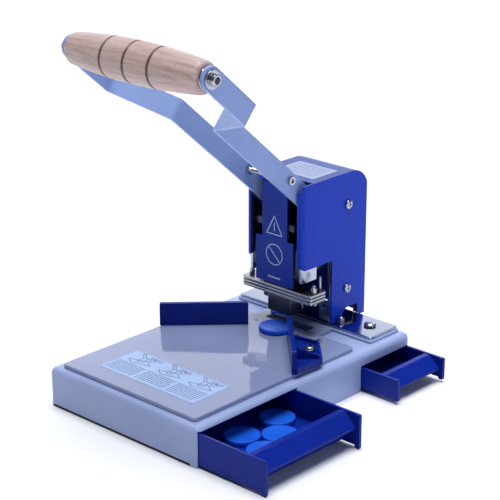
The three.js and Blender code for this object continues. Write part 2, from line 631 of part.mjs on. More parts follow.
// ---------------------------------------------------------------- fences
// Drawn with the apex at the origin, the wall along X on its own side and the foot behind it, along +Y.
function makeFence(side, word) {
  const group = new THREE.Group();
  group.position.set(0, APEX, TABLE_TOP + GAP);
  group.rotation.z = -side * Math.PI / 4;
  const wallShape = rectangle(span(side, FENCE_AT, FENCE_TO), [0, FENCE_HEIGHT], FENCE_CORNER);
  const wall = prism(wallShape, "y", [0, FENCE_WALL]);
  const footAt = (inset) => [
    [side * (FENCE_AT + 2 * inset), inset, 0],
    [side * (FENCE_TO - inset), inset, 0],
    [side * (FENCE_TO - inset), FENCE_FOOT_END, 0],
    [side * (FENCE_TO - FENCE_FOOT_TAPER), FENCE_FOOT_REACH - inset, FENCE_CORNER],
    [side * (FENCE_AT + FENCE_FOOT_TAPER), FENCE_FOOT_REACH - inset, FENCE_CORNER],
  ];
  const foot = prism(outline(footAt(0)), "z", [0, FENCE_RIM_HEIGHT]);
  const pocket = prism(outline(footAt(FENCE_RIM)), "z", [FENCE_FOOT_THICKNESS, FENCE_HEIGHT]);
  const rib = outline([
    [FENCE_WALL / 2, FENCE_FOOT_THICKNESS / 2],
    [FENCE_FOOT_REACH - FENCE_RIM / 2, FENCE_FOOT_THICKNESS / 2],
    [FENCE_FOOT_REACH - FENCE_RIM / 2, FENCE_RIM_HEIGHT - 0.5],
    [FENCE_WALL / 2, FENCE_RIB_HEIGHT],
  ]);
  const ribAt = FENCE_AT + FENCE_RIB_ALONG;
  const ribs = prism(rib, "x", span(side, ribAt, ribAt + FENCE_RIB_THICKNESS));
  const screwX = side * (FENCE_AT + FENCE_SCREW_ALONG);
  const screwAt = [screwX, FENCE_SCREW_BEHIND];
  const seatTop = FENCE_FOOT_THICKNESS + FENCE_SEAT_HEIGHT;
  const seat = rod(FENCE_SEAT_RADIUS, "z", [FENCE_FOOT_THICKNESS / 2, seatTop], screwAt);
  const hole = rod(FENCE_SCREW_RADIUS + RUNNING_GAP, "z", [-1, FENCE_HEIGHT], screwAt, SMALL_SIDES);
  const body = foot.subtract(pocket).add(wall).add(ribs).add(seat).subtract(hole);
  add(group, "fence_" + word, BLUE_PAINT, body);

  const washerBottom = seatTop + GAP;
  const washerTop = washerBottom + FENCE_WASHER_THICKNESS;
  const washer = rod(FENCE_WASHER_RADIUS, "z", [washerBottom, washerTop], screwAt);
  const screwLength = washerTop + GAP + TABLE_THICKNESS;
  const place = [screwX, FENCE_SCREW_BEHIND, washerTop];
  const screw = panScrew(FENCE_SCREW_RADIUS, FENCE_SCREW_HEAD, screwLength, "z", place);
  add(group, "fence_screw_" + word, PLATED_STEEL, screw.add(washer));
  return group;
}

// ---------------------------------------------------------------- mats
function makeMat(name, [x, y, z]) {
  const profile = [
    [0, 0],
    [MAT_RADIUS - MAT_EDGE, 0],
    [MAT_RADIUS, MAT_EDGE],
    [MAT_RADIUS, MAT_THICKNESS - MAT_EDGE],
    [MAT_RADIUS - MAT_EDGE, MAT_THICKNESS],
    [0, MAT_THICKNESS],
  ];
  const holder = new THREE.Group();
  holder.position.set(x, y, z);
  add(holder, name, MAT_PLASTIC, turned(profile, "z", [0, 0, 0], 40));
  return holder;
}

// ---------------------------------------------------------------- drawers
// Drawn with X = 0 at the front of its ears, so that the group's place says how far it is pulled out.
function makeDrawer(name, drawer) {
  const group = new THREE.Group();
  group.position.x = DRAWER_CLOSED_FRONT + drawer.pulledOut;
  const { low, width, floor, earDrop, top, runner, lipDrop } = drawer;
  const high = low + width;
  const rimTop = top - 0.4;
  const rimFront = -RECESS_DEPTH - 0.5;
  const lipTop = rimTop - lipDrop;
  const t = DRAWER_WALL;
  const front = outline([
    [rimFront - RIM_DEPTH, rimTop, 0.5],
    [rimFront - RIM_DEPTH, rimTop - t],
    [-RECESS_DEPTH - t, rimTop - t - 0.8],
    [-RECESS_DEPTH - t, floor + runner],
    [-RECESS_DEPTH, floor + runner],
    [-RECESS_DEPTH, rimTop - 1.6 * t, 1],
    [-LIP_SETBACK - t, lipTop - LIP_HEIGHT, 0.4],
    [-LIP_SETBACK, lipTop - LIP_HEIGHT, 0.6],
    [-LIP_SETBACK, lipTop, 0.8],
    [rimFront, rimTop, 1.5],
  ]);
  let body = prism(front, "y", [low + t / 2, high - t / 2]);
  const sideOutline = outline([
    [-DRAWER_LENGTH, floor, 1],
    [-EAR_DEPTH, floor],
    [-EAR_DEPTH, floor - earDrop, EAR_RADIUS],
    [0, floor - earDrop, EAR_RADIUS],
    [0, top, 1],
    [-DRAWER_LENGTH, top, 1],
  ]);
  const earOutline = rectangle([-EAR_DEPTH, 0], [floor - earDrop, top], 1);
  for (const [y, inwards] of [[low, 1], [high, -1]]) {
    const wallRange = [y, y + inwards * t].sort((a, b) => a - b);
    const earRange = [y, y + inwards * EAR_THICKNESS].sort((a, b) => a - b);
    body = body.add(prism(sideOutline, "y", wallRange)).add(prism(earOutline, "y", earRange));
  }
  const insideY = [low + t / 2, high - t / 2];
  const floorZ = [floor + runner, floor + runner + DRAWER_FLOOR];
  body = body.add(block([-DRAWER_LENGTH, -RECESS_DEPTH], insideY, floorZ));
  body = body.add(block([-DRAWER_LENGTH, -DRAWER_LENGTH + t], insideY, [floorZ[0], top]));
  add(group, name, NAVY_PLASTIC, body);
  return group;
}

// ---------------------------------------------------------------- column
function arch(margin) {
  const shape = outline([
    [ARCH_FRONT - margin, 0],
    [ARCH_REAR + margin, 0],
    [ARCH_REAR + margin, ARCH_TOP + margin, 2],
    [ARCH_FRONT - margin, ARCH_TOP + margin, ARCH_CORNER],
  ]);
  return prism(shape, "x", [-FAR, FAR]);
}

function makeCover() {
  const half = COVER_WIDTH / 2;
  const t = COVER_WALL;
  const rearStep = BED_REAR + RISER_MARGIN + 0.5;
  const side = (inset, low) => outline([
    [COVER_LEG_FRONT + (inset ? -20 : 0), COLUMN_BOTTOM - low, 0],
    [rearStep, COLUMN_BOTTOM - low, 0],
    [rearStep, COLUMN_BOTTOM - low - 2, 0],
    [COVER_REAR - inset, COLUMN_BOTTOM - low - 2, 0],
    [COVER_REAR - inset, COVER_TOP - inset, COVER_REAR_RADIUS - inset],
    [COVER_FRONT + inset, COVER_TOP - inset, COVER_TOP_EDGE - inset],
    [COVER_FRONT + inset, COVER_WING_BOTTOM - low, inset ? 0 : COVER_WING_RADIUS],
    [COVER_LEG_FRONT + (inset ? -20 : 0), COVER_WING_BOTTOM - low, inset ? 0 : 1],
  ]);
  const plan = (inset) => outline([
    [-half + inset, COVER_FRONT + inset, COVER_FRONT_RADIUS - inset],
    [half - inset, COVER_FRONT + inset, COVER_FRONT_RADIUS - inset],
    [half - inset, COVER_REAR - inset, 2 - inset],
    [-half + inset, COVER_REAR - inset, 2 - inset],
  ]);
  const outer = prism(side(0, 0), "x", [-half, half], COVER_STEPS);
  const inner = prism(side(t, COVER_WING_BOTTOM), "x", [-half + t, half - t], COVER_STEPS);
  const outerPlan = prism(plan(0), "z", [-FAR, FAR]);
  const innerPlan = prism(plan(t), "z", [-FAR, FAR]);
  const opening = half - COVER_FLANGE;
  const mouth = block([-opening, opening], [COVER_FRONT - 1, COVER_FRONT + 4], [0, COVER_TOP - t]);
  let cover = outer
    .intersect(outerPlan)
    .subtract(inner.intersect(innerPlan))
    .subtract(mouth)
    .subtract(arch(0));
  for (const side of [1, -1]) {
    const slotX = span(side, COVER_TONGUE_HALF, half - t);
    const slotY = [COVER_FRONT - 1, COVER_FRONT + COVER_SLOT_DEPTH];
    cover = cover.subtract(block(slotX, slotY, [COVER_TOP - 6, COVER_TOP + 1]));
  }
  for (const z of COVER_SCREW_HEIGHTS) {
    const at = [COVER_SCREW_Y, z];
    cover = cover.subtract(rod(COVER_SCREW_RADIUS + RUNNING_GAP, "x", [-FAR, FAR], at, SMALL_SIDES));
  }
  return cover;
}

function makeFramePlate(side) {
  const x = span(side, FRAME_INNER, FRAME_INNER + FRAME_THICKNESS);
  const front = COVER_FRONT + COVER_WALL + FRAME_BEHIND_FLANGE;
  const top = COVER_TOP - COVER_WALL - FRAME_TOP_BELOW_COVER;
  const shape = outline([
    [front, THROAT_TOP, 1],
    [FRAME_NOSE_REAR, THROAT_TOP, 1],
    [FRAME_NOSE_REAR, THROAT_TOP + FRAME_NOSE_RISE, 1],
    [FRAME_LEG_FRONT, THROAT_TOP + FRAME_NOSE_RISE, 1],
    [FRAME_LEG_FRONT, COLUMN_BOTTOM],
    [FRAME_REAR, COLUMN_BOTTOM],
    [FRAME_REAR, top, FRAME_REAR_RADIUS],
    [front, top, 2],
  ]);
  const flangeX = span(side, FRAME_INNER - FRAME_FLANGE, FRAME_INNER + 1);
  const flangeZ = [COLUMN_BOTTOM, COLUMN_BOTTOM + FRAME_FLANGE_HEIGHT];
  const flangeY = [FRAME_LEG_FRONT, FRAME_LEG_FRONT + FRAME_THICKNESS];
  const flange = prism(rectangle(flangeX, flangeZ, 1.5), "y", flangeY);
  const footZ = [COLUMN_BOTTOM, COLUMN_BOTTOM + FRAME_THICKNESS];
  const foot = block(flangeX, [FRAME_LEG_FRONT + 1, FRAME_FOOT_REAR], footZ);
  const flangeHoleAt = [side * (FRAME_INNER - FRAME_FLANGE / 2), flangeZ[1] - FRAME_FLANGE_HOLE_BELOW_TOP];
  const flangeThrough = [flangeY[0] - 1, flangeY[1] + 1];
  const flangeHole = rod(FRAME_FLANGE_HOLE_RADIUS, "y", flangeThrough, flangeHoleAt, SMALL_SIDES);
  const wall = prism(shape, "x", x).subtract(arch(FRAME_ARCH_MARGIN));
  let plate = wall.add(flange).add(foot).subtract(flangeHole);
  const holes = [
    [PIVOT_RADIUS, PIVOT_Y, PIVOT_Z],
    [STAY_RADIUS, STAY_Y, STAY_Z],
    ...COVER_SCREW_HEIGHTS.map((z) => [COVER_SCREW_RADIUS, COVER_SCREW_Y, z]),
  ];
  for (const [radius, y, z] of holes) {
    plate = plate.subtract(rod(radius + RUNNING_GAP, "x", [x[0] - 1, x[1] + 1], [y, z]));
  }
  return plate;
}

function makeColumn() {
  const group = new THREE.Group();
  const across = FRAME_INNER + FRAME_THICKNESS;
  add(group, "column_cover", BLUE_PAINT, makeCover());
  for (const [side, word] of [[1, "right"], [-1, "left"]]) {
    add(group, "frame_plate_" + word, PLATED_STEEL, makeFramePlate(side));
    COVER_SCREW_HEIGHTS.forEach((z, i) => {
      const at = [side * (COVER_WIDTH / 2 + GAP), COVER_SCREW_Y, z];
      const screw = panScrew(COVER_SCREW_RADIUS, COVER_SCREW_HEAD, COVER_SCREW_LENGTH, "x", at, side);
      add(group, `cover_screw_${word}_${i ? "upper" : "lower"}`, PLATED_STEEL, screw);
    });
  }
  add(group, "pivot_shaft", DARK_STEEL, rod(PIVOT_RADIUS, "x", [-across, across], [PIVOT_Y, PIVOT_Z]));
  add(group, "rear_stay", PLATED_STEEL, rod(STAY_RADIUS, "x", [-across, across], [STAY_Y, STAY_Z]));
  const guideX = [-FRAME_INNER + GAP, FRAME_INNER - GAP];
  const guide = block(guideX, [RAM_FRONT, GUIDE_REAR], [GUIDE_BOTTOM, GUIDE_TOP]);
  const slotX = [-RAM_HALF - SIDE_PLAY, RAM_HALF + SIDE_PLAY];
  const slot = block(slotX, [RAM_FRONT - 1, RAM_REAR + SIDE_PLAY], [GUIDE_BOTTOM - 1, GUIDE_TOP + 1]);
  add(group, "ram_guide", DARK_STEEL, guide.subtract(slot));
  for (const [side, word] of [[1, "right"], [-1, "left"]]) {
    add(group, "return_spring_" + word, PLATED_STEEL, makeSpring([side * SPRING_X, SPRING_Y]));
  }
  return group;
}

// A compression spring standing on the guide, under the ram's yoke.
function makeSpring([x, y]) {
  const low = GUIDE_TOP + GAP + SPRING_WIRE;
  const high = RAM_YOKE_BOTTOM - GAP - SPRING_WIRE;
  class Coil extends THREE.Curve {
    getPoint(t, target = new THREE.Vector3()) {
      const turn = t * SPRING_TURNS * 2 * Math.PI;
      const z = THREE.MathUtils.lerp(low, high, t);
      return target.set(x + SPRING_COIL * Math.cos(turn), y + SPRING_COIL * Math.sin(turn), z);
    }
  }
  const wire = new THREE.Shape();
  wire.absarc(0, 0, SPRING_WIRE, 0, 2 * Math.PI);
  const options = { steps: SPRING_TURNS * 10, extrudePath: new Coil(), curveSegments: 3 };
  return solidOf(new THREE.ExtrudeGeometry(wire, options));
}

// ---------------------------------------------------------------- ram and head
function makeRam() {
  const group = new THREE.Group();
  const camBottom = PIVOT_Z + CAM_THROW * Math.sin(CAM_RISE) - CAM_RADIUS;
  const ramTop = camBottom - GAP;
  const ramBottom = HEAD_TOP + GAP;
  const stem = block([-RAM_HALF, RAM_HALF], [RAM_FRONT, RAM_REAR], [ramBottom, ramTop]);
  const yokeX = [-RAM_YOKE_HALF, RAM_YOKE_HALF];
  const yoke = block(yokeX, [RAM_FRONT, RAM_REAR], [RAM_YOKE_BOTTOM, ramTop]);
  add(group, "ram", DARK_STEEL, stem.add(yoke));

  const coverY = [RAM_FRONT - GAP - RAM_COVER_THICKNESS, RAM_FRONT - GAP];
  const wide = RAM_COVER_WIDE_HALF;
  const cover = outline([
    [-wide, RAM_COVER_BOTTOM, 1],
    [wide, RAM_COVER_BOTTOM, 1],
    [wide, RAM_COVER_STEP, 0.8],
    [RAM_HALF, RAM_COVER_STEP, 0.8],
    [RAM_HALF, RAM_COVER_TOP, 1],
    [-RAM_HALF, RAM_COVER_TOP, 1],
    [-RAM_HALF, RAM_COVER_STEP, 0.8],
    [-wide, RAM_COVER_STEP, 0.8],
  ]);
  add(group, "ram_cover", NAVY_PAINT, prism(cover, "y", coverY));

  const headY = [RAM_FRONT, RAM_FRONT + HEAD_DEPTH];
  const plateShape = rectangle([-HEAD_HALF, HEAD_HALF], headY, HEAD_CORNER);
  const pitch = HEAD_PLATE + HEAD_PLATE_GAP;
  const headBottom = HEAD_TOP - 2 * pitch - HEAD_PLATE;
  const boltY = RAM_FRONT + HEAD_BOLT_BEHIND;
  const pinY = RAM_FRONT + HEAD_PIN_BEHIND;
  const through = [headBottom - 1, HEAD_TOP + 1];
  const holes = bothSides((side) =>
    rod(HEAD_BOLT_RADIUS + RUNNING_GAP, "z", through, [side * HEAD_BOLT_X, boltY], SMALL_SIDES).add(
      rod(HEAD_PIN_RADIUS + RUNNING_GAP, "z", through, [side * HEAD_PIN_X, pinY], SMALL_SIDES),
    ),
  );
  ["punch_plate", "spacer_plate", "head_plate"].forEach((name, level) => {
    const z = headBottom + level * pitch;
    add(group, name, PLATED_STEEL, prism(plateShape, "z", [z, z + HEAD_PLATE]).subtract(holes));
  });
  for (const [side, word] of [[1, "right"], [-1, "left"]]) {
    const at = [side * HEAD_BOLT_X, boltY];
    const nut = [HEAD_TOP + GAP, HEAD_TOP + GAP + HEAD_NUT_HEIGHT];
    const cap = [headBottom - GAP - HEAD_BOLT_CAP, headBottom - GAP];
    const bolt = rod(HEAD_BOLT_RADIUS, "z", [cap[0], HEAD_TOP + HEAD_BOLT_RISE], at, SMALL_SIDES)
      .add(rod(2 * HEAD_BOLT_RADIUS, "z", cap, at))
      .add(rod(HEAD_NUT_RADIUS, "z", nut, at));
    add(group, "head_bolt_" + word, PLATED_STEEL, bolt);
    const pinZ = [headBottom, HEAD_TOP + HEAD_PIN_RISE];
    const pin = rod(HEAD_PIN_RADIUS, "z", pinZ, [side * HEAD_PIN_X, pinY], SMALL_SIDES);
    add(group, "head_pin_" + word, PLATED_STEEL, pin);
  }

  const holderX = [-HOLDER_HALF, HOLDER_HALF];
  const holderShape = rectangle(holderX, [HOLDER_FRONT, HOLDER_REAR], HOLDER_CORNER);
  const holder = prism(holderShape, "z", [HOLDER_BOTTOM, headBottom - GAP]);
  add(group, "blade_holder", DARK_STEEL, holder);
  add(group, "corner_blade", POLISHED_STEEL, makeBlade());
  return group;
}

// The cutting edge that rounds a paper corner: a quarter turn with a short straight tail at each end.
function makeBlade() {
  const centreY = APEX - BLADE_RADIUS * Math.SQRT2;
  const outer = BLADE_RADIUS + BLADE_THICKNESS;
  const shape = new THREE.Shape();
  const at = (radius, angle, tail) => [
    radius * Math.cos(angle) + tail * Math.sin(angle),
    centreY + radius * Math.sin(angle) - tail * Math.cos(angle),
  ];
  const [right, left] = [Math.PI / 4, 3 * Math.PI / 4];
  shape.moveTo(...at(outer, right, BLADE_TAIL));
  shape.absarc(0, centreY, outer, right, left, false);
  shape.lineTo(...at(outer, left, -BLADE_TAIL));
  shape.lineTo(...at(BLADE_RADIUS, left, -BLADE_TAIL));
  shape.absarc(0, centreY, BLADE_RADIUS, left, right, true);
  shape.lineTo(...at(BLADE_RADIUS, right, BLADE_TAIL));
  return prism(shape, "z", [BLADE_BOTTOM, BLADE_BOTTOM + BLADE_SHOWS], 8);
}

// ---------------------------------------------------------------- lever and grip
// Drawn round the pivot with the lever lying along -Y, then turned up to its rest angle.
function makeLever() {
  const group = new THREE.Group();
  group.position.set(0, PIVOT_Y, PIVOT_Z);
  group.rotation.x = -LEVER_ANGLE;
  const t = ARM_THICKNESS;
  const end = (ARM_ABOVE + ARM_BELOW) / 2;
  const jog = new THREE.Vector2(ARM_OUTER_HALF - ARM_INNER_HALF, ARM_OUTER_FOLD - ARM_INNER_FOLD);
  const mitre = t * Math.tan(Math.atan2(jog.x, jog.y) / 2); // how much a fold shifts along the strip
  const edges = rectangle([-ARM_GRIP - end, end], [-ARM_BELOW, ARM_ABOVE], end - 0.01);
  for (const [side, word] of [[1, "right"], [-1, "left"]]) {
    const strip = outline([
      [side * ARM_INNER_HALF, end + 1],
      [side * ARM_INNER_HALF, -ARM_INNER_FOLD, ARM_SHARP_BEND],
      [side * ARM_OUTER_HALF, -ARM_OUTER_FOLD, ARM_WIDE_BEND],
      [side * ARM_OUTER_HALF, -ARM_GRIP - end - 1],
      [side * (ARM_OUTER_HALF - t), -ARM_GRIP - end - 1],
      [side * (ARM_OUTER_HALF - t), -ARM_OUTER_FOLD - mitre, ARM_SHARP_BEND],
      [side * (ARM_INNER_HALF - t), -ARM_INNER_FOLD - mitre, ARM_WIDE_BEND],
      [side * (ARM_INNER_HALF - t), end + 1],
    ]);
    let arm = prism(strip, "z", [-ARM_BELOW - 1, ARM_ABOVE + 1]);
    arm = arm.intersect(prism(edges, "x", [-FAR, FAR], 8));
    const holes = [
      [PIVOT_RADIUS, 0, 0],
      [CROSS_BOLT_RADIUS, -ARM_CROSS_BOLT, CROSS_BOLT_ABOVE],
      [GRIP_ROD_RADIUS, -ARM_GRIP, 0],
    ];
    for (const [radius, y, z] of holes) {
      arm = arm.subtract(rod(radius + RUNNING_GAP, "x", [-FAR, FAR], [y, z]));
    }
    add(group, "lever_arm_" + word, PALE_PAINT, arm);
  }

  const hubEnd = ARM_INNER_FACE - GAP;
  const lift = CAM_RISE - LEVER_ANGLE; // seen from the lever's own direction
  const camAt = [-CAM_THROW * Math.cos(lift), CAM_THROW * Math.sin(lift)];
  const cam = rod(HUB_RADIUS, "x", [-hubEnd, hubEnd], [0, 0])
    .add(rod(CAM_RADIUS, "x", [-CAM_HALF, CAM_HALF], camAt, 48))
    .subtract(rod(PIVOT_RADIUS + RUNNING_GAP, "x", [-FAR, FAR], [0, 0]));
  add(group, "press_cam", DARK_STEEL, cam);

  const boltAt = [-ARM_CROSS_BOLT, CROSS_BOLT_ABOVE];
  const boltEnd = ARM_INNER_HALF + GAP;
  const [head, top, socket] = [CROSS_BOLT_HEAD, CROSS_BOLT_HEAD_HEIGHT, CROSS_BOLT_SOCKET];
  const headProfile = [
    [0, 0],
    [head, 0],
    [head, top / 2],
    [head - socket, top],
    [socket, top],
    [socket, top / 2],
    [0, top / 2],
  ];
  const nutAt = (from) => rod(CROSS_NUT_RADIUS, "x", [from, from + CROSS_NUT_HEIGHT], boltAt, 6);
  const crossBolt = rod(CROSS_BOLT_RADIUS, "x", [-boltEnd - CROSS_NUT_HEIGHT, boltEnd], boltAt)
    .add(turned(headProfile, "x", [boltEnd, ...boltAt]))
    .add(nutAt(-boltEnd - CROSS_NUT_HEIGHT))
    .add(nutAt(GAP - ARM_INNER_FACE));
  add(group, "cross_bolt", PLATED_STEEL, crossBolt);

  const gripAt = [-ARM_GRIP, 0];
  const rodEnd = ARM_OUTER_HALF;
  const threads = bothSides((side) => {
    const range = span(side, rodEnd - GRIP_BOLT_LENGTH - 1, rodEnd + 1);
    return rod(GRIP_BOLT_RADIUS + RUNNING_GAP, "x", range, gripAt, SMALL_SIDES);
  });
  const gripRod = rod(GRIP_ROD_RADIUS, "x", [-rodEnd, rodEnd], gripAt).subtract(threads);
  add(group, "grip_rod", PLATED_STEEL, gripRod);
  const washerOuter = ARM_OUTER_HALF - t - GAP;
  const washerInner = washerOuter - GRIP_WASHER_THICKNESS;
  const bore = rod(GRIP_ROD_RADIUS + RUNNING_GAP, "x", [-FAR, FAR], gripAt);
  for (const [side, word] of [[1, "right"], [-1, "left"]]) {
    const range = span(side, washerInner, washerOuter);
    const washer = rod(GRIP_WASHER_RADIUS, "x", range, gripAt).subtract(bore);
    add(group, "grip_washer_" + word, PLATED_STEEL, washer);
    add(group, "grip_bolt_" + word, PLATED_STEEL, makeGripBolt(side, gripAt));
  }
  add(group, "grip", BEECH, makeGrip(washerInner - GAP, gripAt).subtract(bore));
  return group;
}

// A socket head bolt on a broad washer, screwed into the end of the grip rod.
function makeGripBolt(side, gripAt) {
  const face = ARM_OUTER_HALF + GAP;
  const head = face + GRIP_END_WASHER_THICKNESS;
  const headEnd = head + GRIP_BOLT_HEAD_HEIGHT;
  const shank = span(side, face - GRIP_BOLT_LENGTH, head);
  return rod(GRIP_END_WASHER_RADIUS, "x", span(side, face, head), gripAt)
    .add(rod(GRIP_BOLT_RADIUS, "x", shank, gripAt, SMALL_SIDES))
    .add(rod(GRIP_BOLT_HEAD, "x", span(side, face, headEnd), gripAt))
    .subtract(rod(GRIP_BOLT_SOCKET, "x", span(side, head + GRIP_BOLT_SOCKET_FLOOR, headEnd + 1), gripAt, 6));
}

// The turned wooden grip: a barrel with rounded ends and burnt grooves.
function makeGrip(half, gripAt) {
  const swell = GRIP_MIDDLE_RADIUS - GRIP_END_RADIUS;
  const radiusAt = (x) => GRIP_END_RADIUS + swell * (1 - (x / half) ** 2);
  const end = half - GRIP_END_ROUND;
  const profile = [];
  for (let i = 0; i <= 3; i++) {
    const turn = (i / 3) * Math.PI / 2;
    const x = end + GRIP_END_ROUND * Math.cos(turn);
    const radius = GRIP_END_RADIUS - GRIP_END_ROUND * (1 - Math.sin(turn));
    profile.push([x, radius], [-x, radius]);
  }
  const w = GRIP_GROOVE_WIDTH / 2;
  const nearGroove = (x) => GRIP_GROOVES.some((g) => Math.abs(x - g) < w + 0.5);
  const steps = 14;
  for (let i = 1; i < steps; i++) {
    const x = end * ((2 * i) / steps - 1);
    if (!nearGroove(x)) profile.push([x, radiusAt(x)]);
  }
  for (const g of GRIP_GROOVES) {
    profile.push([g - w, radiusAt(g - w)]);
    profile.push([g, radiusAt(g) - GRIP_GROOVE_DEPTH]);
    profile.push([g + w, radiusAt(g + w)]);
  }
  profile.push([-half, 0], [half, 0]);
  profile.sort((a, b) => a[0] - b[0] || (a[0] < 0 ? a[1] - b[1] : b[1] - a[1]));
  return turned(profile.map(([x, radius]) => [radius, x]), "x", [0, ...gripAt], 30);
}

// ---------------------------------------------------------------- assembly
press.add(makeBase());
press.add(makeTop());
press.add(makeFence(1, "right"));
press.add(makeFence(-1, "left"));
press.add(makeMat("cutting_mat", [MAT_PLACE[0], MAT_PLACE[1], TABLE_TOP + GAP]));
const largeDrawer = makeDrawer("large_drawer", LARGE_DRAWER);
const matBottom = LARGE_DRAWER.floor + LARGE_DRAWER.runner + DRAWER_FLOOR + GAP;
const matPitch = 2 * MAT_RADIUS + GAP;
const foremost = -RECESS_DEPTH - DRAWER_WALL - SPARE_MAT_PLAY_FRONT - MAT_RADIUS;
const drawerSide = LARGE_DRAWER.low + LARGE_DRAWER.width - DRAWER_WALL;
const rearmost = drawerSide - SPARE_MAT_PLAY_SIDE - MAT_RADIUS;
SPARE_MATS.forEach(([out, across], i) => {
  const x = foremost + out * matPitch;
  const y = rearmost + across * matPitch;
  largeDrawer.add(makeMat("spare_mat_" + (i + 1), [x, y, matBottom]));
});
press.add(largeDrawer);
press.add(makeDrawer("small_drawer", SMALL_DRAWER));
press.add(makeColumn());
press.add(makeRam());
press.add(makeLever());

export default press;
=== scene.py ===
import json
import math

import bmesh
import bpy
from mathutils import Matrix, Vector

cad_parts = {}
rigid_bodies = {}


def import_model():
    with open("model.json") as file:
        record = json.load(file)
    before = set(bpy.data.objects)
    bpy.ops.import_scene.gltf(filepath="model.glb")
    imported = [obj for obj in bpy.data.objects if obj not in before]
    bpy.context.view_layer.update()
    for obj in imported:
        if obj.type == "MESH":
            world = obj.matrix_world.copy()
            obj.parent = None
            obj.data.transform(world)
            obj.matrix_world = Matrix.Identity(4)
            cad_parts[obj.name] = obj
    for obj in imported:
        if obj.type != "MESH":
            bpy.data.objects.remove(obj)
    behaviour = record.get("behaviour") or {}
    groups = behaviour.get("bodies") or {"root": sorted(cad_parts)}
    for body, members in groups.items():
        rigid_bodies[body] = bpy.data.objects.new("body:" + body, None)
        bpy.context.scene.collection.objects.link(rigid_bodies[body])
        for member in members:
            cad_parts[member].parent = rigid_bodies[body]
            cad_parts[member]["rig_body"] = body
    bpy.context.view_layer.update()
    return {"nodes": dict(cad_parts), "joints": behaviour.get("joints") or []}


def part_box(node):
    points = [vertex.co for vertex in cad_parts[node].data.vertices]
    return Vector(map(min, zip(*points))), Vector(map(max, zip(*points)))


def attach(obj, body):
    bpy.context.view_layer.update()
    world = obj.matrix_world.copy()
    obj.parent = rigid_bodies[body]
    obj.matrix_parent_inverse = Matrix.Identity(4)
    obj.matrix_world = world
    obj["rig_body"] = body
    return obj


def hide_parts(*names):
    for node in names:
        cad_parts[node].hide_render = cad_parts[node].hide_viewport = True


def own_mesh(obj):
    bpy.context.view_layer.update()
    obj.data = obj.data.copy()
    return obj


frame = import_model()

# ------ base shell
# The base is a box of 1.6 mm sheet steel with a generous bend round its top edges, open below and on
# the drawer side, and baked with a pale blue-grey powder coat that leaves a faint orange peel.
MM = 0.001
SHEET = 1.6
BASE_EDGE = 5
BASE_CORNER = 5.6
SIDE_PLAY = 0.5
BAY_HEADROOM = 1.4
SLOT = ((-24, 24), (64.2, 74.7))
SLOT_CORNER = 2
GAP = 0.3  # between pieces that touch
PAST = 1  # how far a cutter runs past a face
FAR = 400  # past every face of the press


def in_mm(name):
    """The lowest and highest corner of a CAD node, in millimetres."""
    low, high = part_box(name)
    return low / MM, high / MM


def outline(corners, steps=8):
    """The points of a closed outline; each corner is x, y and, where it is rounded, its radius."""
    points = []
    for i, (x, y, *rounded) in enumerate(corners):
        corner = Vector((x, y))
        if not rounded or rounded[0] == 0:
            points.append(corner)
            continue
        before = (Vector(corners[i - 1][:2]) - corner).normalized()
        after = (Vector(corners[(i + 1) % len(corners)][:2]) - corner).normalized()
        half = before.angle(after) / 2
        centre = corner + (before + after).normalized() * rounded[0] / math.sin(half)
        start = corner + before * rounded[0] / math.tan(half) - centre
        turn = (math.pi - 2 * half) * (-1 if before.cross(after) > 0 else 1)
        for step in range(steps + 1):
            points.append(centre + Matrix.Rotation(turn * step / steps, 2) @ start)
    return points


def rectangle(x, y, radius=0, steps=8):
    """The outline of a rectangle with all corners of one radius."""
    corners = [(x[0], y[0]), (x[1], y[0]), (x[1], y[1]), (x[0], y[1])]
    return outline([(*corner, radius) for corner in corners], steps)


def piece_from(name, work):
    """A new object from a bmesh, which is freed."""
    bmesh.ops.recalc_face_normals(work, faces=work.faces)
    mesh = bpy.data.meshes.new(name)
    work.to_mesh(mesh)
    work.free()
    piece = bpy.data.objects.new(name, mesh)
    bpy.context.scene.collection.objects.link(piece)
    return piece


def prism(name, shape, axis, between):
    """An outline in millimetres pushed along an axis: drawn in XY for z, in XZ for y and in YZ for x."""
    order = {"x": (2, 0, 1), "y": (0, 2, 1), "z": (0, 1, 2)}[axis]
    work = bmesh.new()
    ends = []
    for w in between:
        places = [Vector([(u, v, w)[i] for i in order]) * MM for u, v in shape]
        ends.append([work.verts.new(place) for place in places])
    work.faces.new(ends[0])
    work.faces.new(ends[1])
    for i in range(len(shape)):
        work.faces.new((ends[0][i - 1], ends[0][i], ends[1][i], ends[1][i - 1]))
    return piece_from(name, work)


def slab(name, shape, between, edge, segments=6):
    """A slab of any outline whose top edge is rounded."""
    piece = prism(name, shape, "z", between)
    work = bmesh.new()
    work.from_mesh(piece.data)
    top = [e for e in work.edges if all(abs(v.co.z - between[1] * MM) < 1e-7 for v in e.verts)]
    bmesh.ops.bevel(work, geom=top, offset=edge * MM, segments=segments, profile=0.5, affect="EDGES")
    work.to_mesh(piece.data)
    work.free()
    return piece


def block(x, y, z):
    """A rectangular block between two values on each axis, in millimetres, used to cut with."""
    return prism("block", rectangle(x, y), "z", z)


def combine(piece, operation, tools):
    """Joins tools to a piece or cuts them from it, and removes them."""
    for tool in tools:
        boolean = piece.modifiers.new("combine", "BOOLEAN")
        boolean.operation = operation
        boolean.solver = "EXACT"
        boolean.object = tool
    graph = bpy.context.evaluated_depsgraph_get()
    made = bpy.data.meshes.new_from_object(piece.evaluated_get(graph))
    piece.modifiers.clear()
    piece.data = made
    for tool in tools:
        bpy.data.objects.remove(tool)
    return piece


